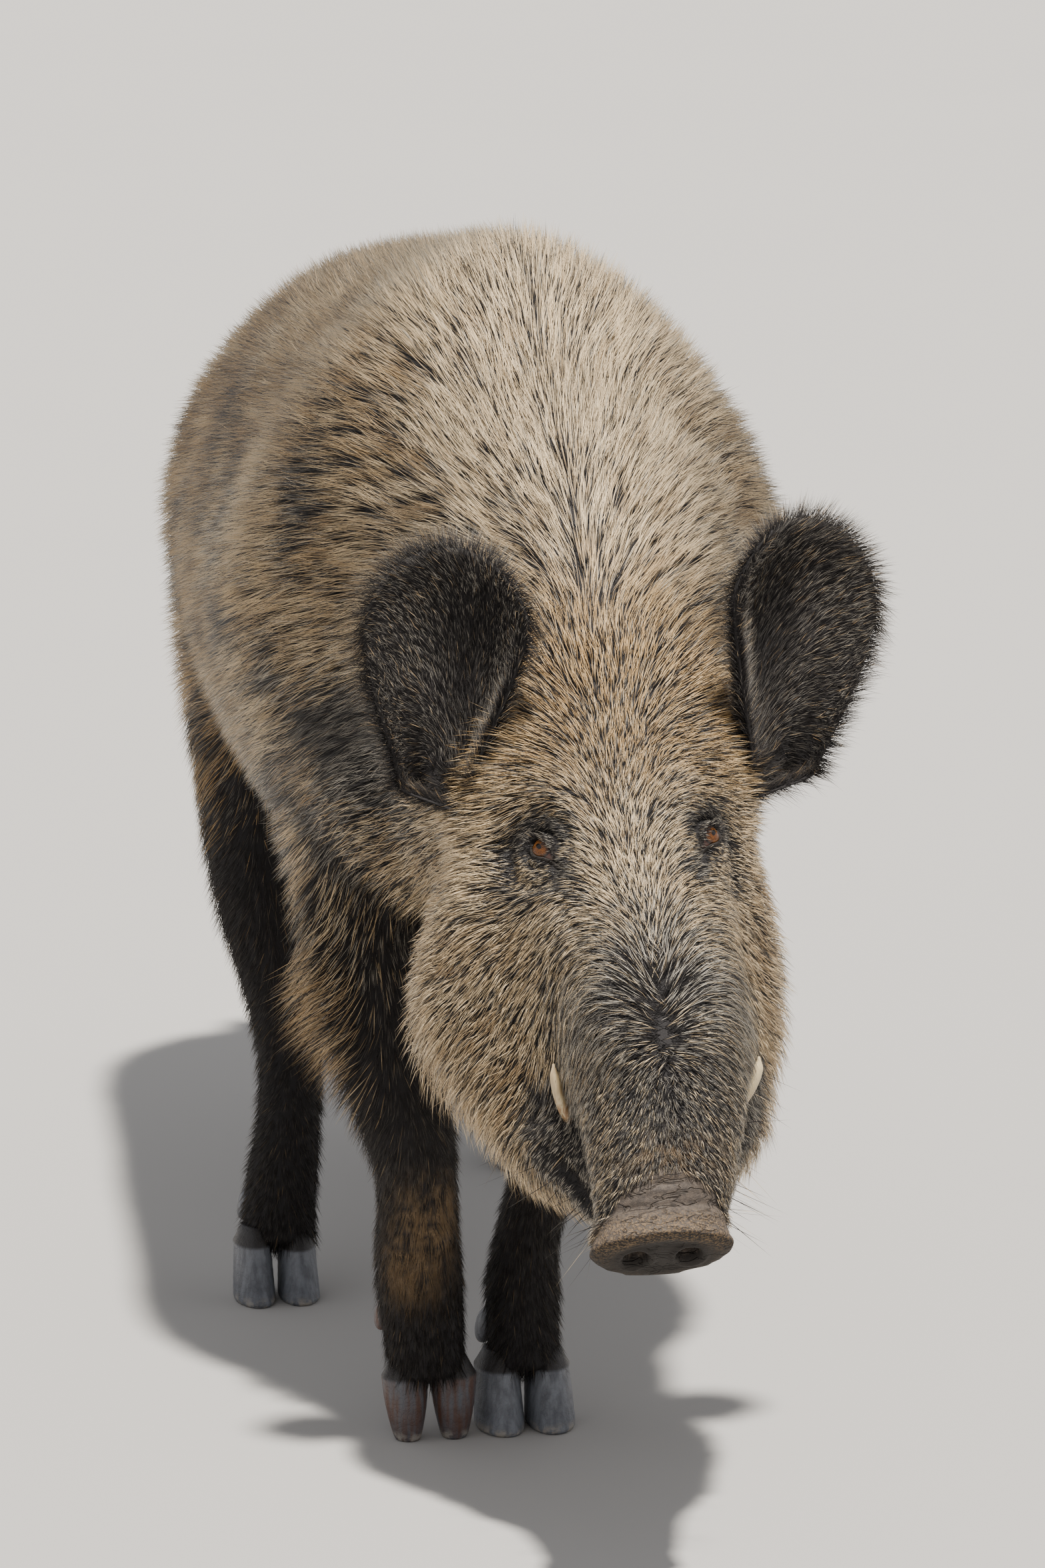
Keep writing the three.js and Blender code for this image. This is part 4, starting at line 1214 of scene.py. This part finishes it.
def buildDewClaw(leg, label):
    low, high = boxOf("dewclaw_" + leg + "_" + label)
    around, tall = dewClawMake["around"], dewClawMake["rise"]
    halfWide, halfLong, halfTall = dewClawMake["half"]
    turn = np.arange(around) * 2 * math.pi / around
    rise = -np.cos(np.linspace(0.12, math.pi - 0.12, tall))
    rings = []
    for height in rise:
        width = math.sqrt(max(1 - height ** 2, 0)) * (1 + 0.18 * height) * (1 + 0.012 * math.sin(14 * height))
        x, y = halfWide * width * np.cos(turn), halfLong * width * np.sin(turn)
        rings.append(columns(x, y, halfTall * height))
    points = np.concatenate(rings + [[[0, 0, -halfTall - 0.2]], [[0, 0, halfTall]]])
    cant = Matrix.Rotation(math.radians(clawWay(leg, label) * -dewClawMake["cant"]), 3, "Y")
    tilt = cant @ Matrix.Rotation(math.radians(dewClawMake["pitch"]), 3, "X")
    points = points @ np.array(tilt).T
    least, most = points.min(axis=0), points.max(axis=0)
    points = low + (points - least) / (most - least) * (high - low)
    piece = closedTube("spur_" + leg + "_" + label, points, around)
    rise = np.concatenate([np.repeat((rise + 1) / 2, around), [0, 1]])
    addAttribute(piece.data, "rise", "FLOAT", rise)
    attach(piece, "root")
    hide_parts("dewclaw_" + leg + "_" + label)
    return piece


eyePieces = [buildEye(side) for side in eyes]
tuskPieces = [buildTusk(side) for side in tuskRows]
hoofPieces = [buildHoof(leg, label) for leg in legNames for label in ("outer", "inner")]
hoofPieces += [buildDewClaw(leg, label) for leg in legNames for label in ("outer", "inner")]
print("eyes, tusks and hooves: built")


# Shared effects, each a node group placed in several materials.

def addNode(tree, kind, inputs=None, **settings):
    node = tree.nodes.new(kind)
    for key, value in settings.items():
        setattr(node, key, value)
    for key, value in (inputs or {}).items():
        if isinstance(value, bpy.types.NodeSocket):
            tree.links.new(value, node.inputs[key])
        else:
            node.inputs[key].default_value = value
    return node


def maths(tree, operation, first, second=0.5, clamp=False):
    inputs = {0: first, 1: second}
    return addNode(tree, "ShaderNodeMath", inputs, operation=operation, use_clamp=clamp).outputs[0]


def plus(tree, first, second, clamp=False):
    return maths(tree, "ADD", first, second, clamp)


def minus(tree, first, second):
    return maths(tree, "SUBTRACT", first, second)


def times(tree, first, second, clamp=False):
    return maths(tree, "MULTIPLY", first, second, clamp)


def stepped(tree, value, low, high):
    inputs = {"Value": value, "From Min": low, "From Max": high}
    return addNode(tree, "ShaderNodeMapRange", inputs, interpolation_type="SMOOTHSTEP").outputs[0]


def blended(tree, factor, first, second):
    return addNode(tree, "ShaderNodeMix", {0: factor, 6: first, 7: second}, data_type="RGBA").outputs[2]


def noise(tree, place, scale, detail, **more):
    inputs = {"Vector": place, "Scale": scale, "Detail": detail, **more}
    return addNode(tree, "ShaderNodeTexNoise", inputs).outputs[0]


def bumped(tree, height, strength, distance, **more):
    inputs = {"Height": height, "Strength": strength, "Distance": distance, **more}
    return addNode(tree, "ShaderNodeBump", inputs).outputs[0]


def connect(tree, shader, colour, roughness, normal=None):
    for name, value in (("Base Color", colour), ("Roughness", roughness), ("Normal", normal)):
        if value is not None:
            tree.links.new(value, shader.inputs[name])


def startGroup(name, inputs, outputs):
    group = bpy.data.node_groups.new(name, "ShaderNodeTree")
    for label, kind, value in inputs:
        socket = group.interface.new_socket(label, in_out="INPUT", socket_type=kind)
        socket.default_value = value
    for label, kind in outputs:
        group.interface.new_socket(label, in_out="OUTPUT", socket_type=kind)
    return group, group.nodes.new("NodeGroupInput"), group.nodes.new("NodeGroupOutput")


# root: the dark base of each hair, and also painted shade deep in the coat
coatColours = {
    "root": (0.021, 0.019, 0.019, 1), "tan": (0.40, 0.27, 0.14, 1), "cream": (0.95, 0.76, 0.49, 1),
    "ochre": (0.54, 0.335, 0.135, 1), "dark": (0.022, 0.019, 0.018, 1), "grizzle": (0.88, 0.80, 0.66, 1),
    "mud": (0.23, 0.155, 0.085, 1),
}


# How far each hair strays from its place's colour, where its dark root ends, and its gloss. The dark root is
# the hair's own dark base and also painted shade deep in the coat.
coatLook = {"spread": 1.4, "tipFrom": (0.16, 0.66), "roughness": 0.32, "gloss": 0.40, "darkGloss": 0.12}


def markingsGroup():
    # The colour of hair or skin from the markings, how far out along the hair, and each hair's own chance.
    group, given, result = startGroup(
        "boarMarkings",
        [("Marks", "NodeSocketColor", (0.5, 0.2, 0.2, 1)), ("Mud", "NodeSocketFloat", 0.0),
         ("Reach", "NodeSocketFloat", 0.5), ("Chance", "NodeSocketFloat", 0.5)],
        [("Color", "NodeSocketColor"), ("Roughness", "NodeSocketFloat")])
    parts = addNode(group, "ShaderNodeSeparateColor", {0: given.outputs["Marks"]})
    cream, ochre, dark = parts.outputs
    reach, chance = given.outputs["Reach"], given.outputs["Chance"]
    second = maths(group, "FRACT", times(group, chance, 7.31))
    third = maths(group, "FRACT", times(group, chance, 23.7))
    spread = times(group, minus(group, chance, 0.5), coatLook["spread"])
    light = plus(group, cream, spread, clamp=True)
    hair = blended(group, light, coatColours["tan"], coatColours["cream"])
    warm = times(group, ochre, plus(group, times(group, third, 0.7), 0.45), clamp=True)
    hair = blended(group, warm, hair, coatColours["ochre"])
    black = stepped(group, minus(group, dark, second), -0.06, 0.06)
    frosted = times(group, stepped(group, reach, 0.50, 0.90), stepped(group, third, 0.40, 0.60))
    frosted = times(group, frosted, cream, clamp=True)
    blackHair = blended(group, frosted, coatColours["dark"], coatColours["grizzle"])
    hair = blended(group, black, hair, blackHair)
    # the root colour up to tipFrom: the hair's dark base and painted shade among the hairs
    outer = stepped(group, reach, *coatLook["tipFrom"])
    colour = blended(group, outer, coatColours["root"], hair)
    colour = blended(group, given.outputs["Mud"], colour, coatColours["mud"])
    group.links.new(colour, result.inputs["Color"])
    rough = plus(group, times(group, second, 0.16), coatLook["roughness"])
    rough = plus(group, rough, times(group, given.outputs["Mud"], 0.3), clamp=True)
    group.links.new(rough, result.inputs["Roughness"])
    return group


def grainGroup():
    # Fine grain: pores and creases for bare skin, streaks and growth rings for horn and ivory.
    group, given, result = startGroup(
        "boarGrain",
        [("Scale", "NodeSocketFloat", 400.0), ("Rise", "NodeSocketFloat", 0.0),
         ("Rings", "NodeSocketFloat", 0.0)],
        [("Mottle", "NodeSocketFloat"), ("Height", "NodeSocketFloat"), ("Streak", "NodeSocketFloat"),
         ("Wrinkle", "NodeSocketFloat"), ("Crumb", "NodeSocketFloat")])
    place = addNode(group, "ShaderNodeTexCoord").outputs["Object"]
    scale = given.outputs["Scale"]
    broad = noise(group, place, scale, 5.0, Roughness=0.6)
    cells = addNode(group, "ShaderNodeTexVoronoi", {
        "Vector": place, "Scale": times(group, scale, 2.2)}, feature="DISTANCE_TO_EDGE")
    crease = stepped(group, cells.outputs["Distance"], 0.0, 0.12)
    drawn = addNode(group, "ShaderNodeMapping", {"Vector": place, "Scale": (1.0, 1.0, 0.12)}).outputs[0]
    streak = noise(group, drawn, times(group, scale, 1.6), 3.0)
    turns = times(group, given.outputs["Rise"], given.outputs["Rings"])
    rings = maths(group, "SINE", plus(group, turns, times(group, broad, 2.2)))
    height = plus(group, times(group, broad, 0.6), times(group, crease, 0.4))
    height = plus(group, height, times(group, rings, 0.15))
    lying = addNode(group, "ShaderNodeMapping", {"Vector": place, "Scale": (0.34, 1.0, 1.0)}).outputs[0]
    folds = noise(group, lying, times(group, scale, 0.52), 2.0, Distortion=0.6)
    wrinkle = stepped(group, maths(group, "ABSOLUTE", minus(group, folds, 0.5)), 0.0, 0.045)
    crumb = stepped(group, noise(group, place, times(group, scale, 2.6), 3.0), 0.42, 0.62)
    for name, value in (("Mottle", broad), ("Height", height), ("Streak", streak), ("Wrinkle", wrinkle),
                        ("Crumb", crumb)):
        group.links.new(value, result.inputs[name])
    return group


boarMarkings, boarGrain = markingsGroup(), grainGroup()


def startMaterial(name, roughness, **settings):
    material = bpy.data.materials.new(name)
    material.use_nodes = True
    tree = material.node_tree
    shader = tree.nodes["Principled BSDF"]
    shader.inputs["Roughness"].default_value = roughness
    for key, value in settings.items():
        shader.inputs[key].default_value = value
    return material, tree, shader


def readAttribute(tree, name):
    return addNode(tree, "ShaderNodeAttribute", attribute_name=name, attribute_type="GEOMETRY")


def useGroup(tree, group, inputs):
    return addNode(tree, "ShaderNodeGroup", inputs, node_tree=group).outputs


def bristleMaterial(name, specular):
    material, tree, shader = startMaterial(name, 0.55, **{"Specular IOR Level": specular})
    marks = readAttribute(tree, "marks")
    found = useGroup(tree, boarMarkings, {
        "Marks": marks.outputs["Color"], "Mud": marks.outputs["Alpha"],
        "Reach": readAttribute(tree, "reach").outputs["Fac"],
        "Chance": readAttribute(tree, "chance").outputs["Fac"]})
    connect(tree, shader, found["Color"], found["Roughness"])
    return material


skinColours = {"bare": (0.050, 0.041, 0.035, 1), "pad": (0.088, 0.070, 0.056, 1),
               "lip": (0.018, 0.015, 0.013, 1), "paleRimAndGlint": (0.34, 0.24, 0.20, 1)}


def skinMaterial():
    material, tree, shader = startMaterial("boarSkin", 0.6, **{"Specular IOR Level": 0.22})
    marks = readAttribute(tree, "marks")
    bare = readAttribute(tree, "bare").outputs["Fac"]
    grain = useGroup(tree, boarGrain, {"Scale": 260.0})
    # under the coat the skin takes the hairs' root colour: dark underfur and painted shade
    found = useGroup(tree, boarMarkings, {
        "Marks": marks.outputs["Color"], "Mud": marks.outputs["Alpha"], "Reach": 0.14,
        "Chance": grain["Mottle"]})
    parts = addNode(tree, "ShaderNodeSeparateColor", {0: marks.outputs["Color"]})
    patchy = stepped(tree, grain["Mottle"], 0.35, 0.65)
    skinTone = blended(tree, patchy, skinColours["bare"], skinColours["pad"])
    skinTone = blended(tree, stepped(tree, parts.outputs[2], 0.35, 0.85), skinTone, skinColours["lip"])
    # pale lid rim: pink skin and a painted wet glint
    skinTone = blended(tree, stepped(tree, parts.outputs[0], 0.97, 1.0), skinTone, skinColours["paleRimAndGlint"])
    # painted shade in the skin's creases
    creaseShade = times(tree, minus(tree, 1.0, grain["Wrinkle"]), 0.40)
    skinTone = blended(tree, creaseShade, skinTone, skinColours["lip"])
    mud = times(tree, marks.outputs["Alpha"], grain["Crumb"])
    skinTone = blended(tree, mud, skinTone, coatColours["mud"])
    colour = blended(tree, stepped(tree, bare, 0.2, 0.8), found["Color"], skinTone)
    rough = minus(tree, 0.78, times(tree, bare, 0.12))
    rough = plus(tree, rough, times(tree, mud, 0.3), clamp=True)
    fine = bumped(tree, grain["Height"], 0.45, 0.0009)
    height = plus(tree, times(tree, grain["Wrinkle"], bare), times(tree, mud, 0.6))
    connect(tree, shader, colour, rough, bumped(tree, height, 0.8, 0.0016, Normal=fine))
    return material


def eyeMaterial():
    gloss = {"Specular IOR Level": 0.25, "Coat Weight": 0.35, "Coat Roughness": 0.02}
    material, tree, shader = startMaterial("boarEye", 0.12, **gloss)
    place = addNode(tree, "ShaderNodeTexCoord").outputs["Object"]
    parts = addNode(tree, "ShaderNodeSeparateXYZ", {0: place}).outputs

    def distance(stretch):
        # How far out from the sight's line, in a space stretched by these factors.
        flat = addNode(tree, "ShaderNodeVectorMath", {0: place, 1: stretch}, operation="MULTIPLY").outputs[0]
        return addNode(tree, "ShaderNodeVectorMath", {0: flat}, operation="LENGTH").outputs["Value"]

    radius, pupil = distance((1.0, 1.0, 0.0)), distance((0.72, 1.25, 0.0))
    turn = maths(tree, "ARCTAN2", parts[1], parts[0])
    fan = addNode(tree, "ShaderNodeCombineXYZ", {0: times(tree, turn, 6.0), 1: times(tree, radius, 260.0)})
    rays = noise(tree, fan.outputs[0], 2.2, 3.0)
    iris = blended(tree, stepped(tree, rays, 0.38, 0.62), eyeColours["outer"], eyeColours["inner"])
    iris = blended(tree, stepped(tree, radius, 0.0060, 0.0074), iris, eyeColours["rim"])
    colour = blended(tree, stepped(tree, radius, 0.0076, 0.0084), iris, eyeColours["white"])
    colour = blended(tree, stepped(tree, pupil, 0.0022, 0.0018), colour, eyeColours["pupil"])
    # painted shadow of the upper lid: the iris darkened towards its upper side
    lidShadow = times(tree, stepped(tree, parts[1], -0.0005, 0.0045), 0.85)  # under the upper lid
    colour = blended(tree, lidShadow, colour, eyeColours["rim"])
    connect(tree, shader, colour, plus(tree, 0.08, times(tree, rays, 0.1)))
    return material


hornColours = {"light": (0.165, 0.174, 0.192, 1), "deep": (0.088, 0.092, 0.104, 1),
               "worn": (0.30, 0.27, 0.23, 1), "brown": (0.085, 0.040, 0.026, 1)}


def hornMaterial(name, light, deep):
    material, tree, shader = startMaterial(name, 0.45, **{"Specular IOR Level": 0.45})
    rise = readAttribute(tree, "rise").outputs["Fac"]
    grain = useGroup(tree, boarGrain, {"Scale": 130.0, "Rise": rise, "Rings": 34.0})
    colour = blended(tree, stepped(tree, grain["Streak"], 0.30, 0.70), deep, light)
    worn = times(tree, stepped(tree, rise, 0.22, 0.0), stepped(tree, grain["Mottle"], 0.42, 0.62))
    colour = blended(tree, worn, colour, hornColours["worn"])
    colour = blended(tree, stepped(tree, rise, 0.95, 1.03), colour, coatColours["dark"])
    rough = plus(tree, 0.34, times(tree, grain["Mottle"], 0.3))
    rough = plus(tree, rough, times(tree, worn, 0.25))
    connect(tree, shader, colour, rough, bumped(tree, grain["Height"], 0.5, 0.0008))
    return material


ivoryColours = {"clean": (0.56, 0.45, 0.26, 1), "stain": (0.26, 0.15, 0.07, 1),
                "crack": (0.12, 0.07, 0.035, 1)}


def ivoryMaterial(name, staining):
    material, tree, shader = startMaterial(name, 0.35, **{"Specular IOR Level": 0.5})
    rise = readAttribute(tree, "rise").outputs["Fac"]
    grain = useGroup(tree, boarGrain, {"Scale": 300.0, "Rise": rise, "Rings": 20.0})
    stain = plus(tree, stepped(tree, rise, 0.75, 0.30), staining)
    stain = times(tree, stain, stepped(tree, grain["Streak"], 0.30, 0.62), clamp=True)
    colour = blended(tree, stain, ivoryColours["clean"], ivoryColours["stain"])
    colour = blended(tree, stepped(tree, grain["Streak"], 0.36, 0.28), colour, ivoryColours["crack"])
    rough = plus(tree, 0.25, times(tree, stain, 0.3))
    connect(tree, shader, colour, rough, bumped(tree, grain["Height"], 0.3, 0.0005))
    return material


def dress(pieces, material):
    for piece in pieces:
        piece.data.materials.append(material)


darkParts = ("ear", "leg", "lash")
bristles = bristleMaterial("boarBristles", coatLook["gloss"])
darkBristles = bristleMaterial("boarDarkBristles", coatLook["darkGloss"])
for piece in coatPieces:
    dress([piece], darkBristles if any(part in piece.name for part in darkParts) else bristles)
dress([boarSkin], skinMaterial())
dress(eyePieces, eyeMaterial())
slate = hornMaterial("boarHorn", hornColours["light"], hornColours["deep"])
redHorn = hornMaterial("boarHornBrown", hornColours["brown"], hornColours["deep"])
for piece in hoofPieces:
    dress([piece], redHorn if "front_right" in piece.name else slate)
dress([tuskPieces[0]], ivoryMaterial("boarIvory", 0.0))
dress([tuskPieces[1]], ivoryMaterial("boarIvoryStained", 0.5))
print("materials: done")


# Floor, light and camera.
floorLook = {"half": 22.0, "lines": 9, "drop": 0.0005, "colour": (0.42, 0.405, 0.385, 1)}
lightLook = {"sun": 9.4, "sunAngle": 3.0, "sunTilt": (20.0, 3.0), "sunColour": (1.0, 0.96, 0.90),
             "sky": (0.95, 0.96, 1.0, 1), "skyPower": 0.70}
cameraLook = {"place": (-0.9673, -5.19359, 1.6), "down": 12.71, "turn": 11.0, "lens": 168.84}


def buildFloor():
    half, lines = floorLook["half"], floorLook["lines"]
    steps = np.linspace(-half, half, lines)
    x, y = (grid.ravel() for grid in np.meshgrid(steps, steps))
    index = np.arange(lines ** 2).reshape(lines, lines)
    faces = np.stack([index[:-1, :-1], index[:-1, 1:], index[1:, 1:], index[1:, :-1]], -1).reshape(-1)
    floor = newMesh("studio_floor", columns(x, y, -floorLook["drop"]), faces, 4)
    material, tree, shader = startMaterial("studioFloor", 0.85, **{"Specular IOR Level": 0.2})
    place = addNode(tree, "ShaderNodeTexCoord").outputs["Object"]
    cloud = noise(tree, place, 1.4, 4.0)
    pale = tuple(0.96 * part for part in floorLook["colour"][:3]) + (1,)
    tree.links.new(blended(tree, cloud, pale, floorLook["colour"]), shader.inputs["Base Color"])
    floor.data.materials.append(material)


def buildLight():
    world = bpy.data.worlds.new("studio")
    bpy.context.scene.world = world
    world.use_nodes = True
    sky = world.node_tree.nodes["Background"]
    sky.inputs["Color"].default_value = lightLook["sky"]
    sky.inputs["Strength"].default_value = lightLook["skyPower"]
    lamp = bpy.data.lights.new("key", "SUN")
    lamp.energy = lightLook["sun"]
    lamp.angle = math.radians(lightLook["sunAngle"])
    lamp.color = lightLook["sunColour"]
    key = bpy.data.objects.new("key", lamp)
    tilt, roll = lightLook["sunTilt"]
    key.rotation_euler = (math.radians(tilt), math.radians(roll), 0)
    bpy.context.scene.collection.objects.link(key)


def buildCamera():
    lens = bpy.data.cameras.new("view")
    lens.lens = cameraLook["lens"]
    lens.sensor_width = 36
    camera = bpy.data.objects.new("view", lens)
    camera.location = cameraLook["place"]
    camera.rotation_euler = (math.radians(90 - cameraLook["down"]), 0, -math.radians(cameraLook["turn"]))
    bpy.context.scene.collection.objects.link(camera)
    bpy.context.scene.camera = camera


buildFloor()
buildLight()
buildCamera()
print("floor, light and camera: done")
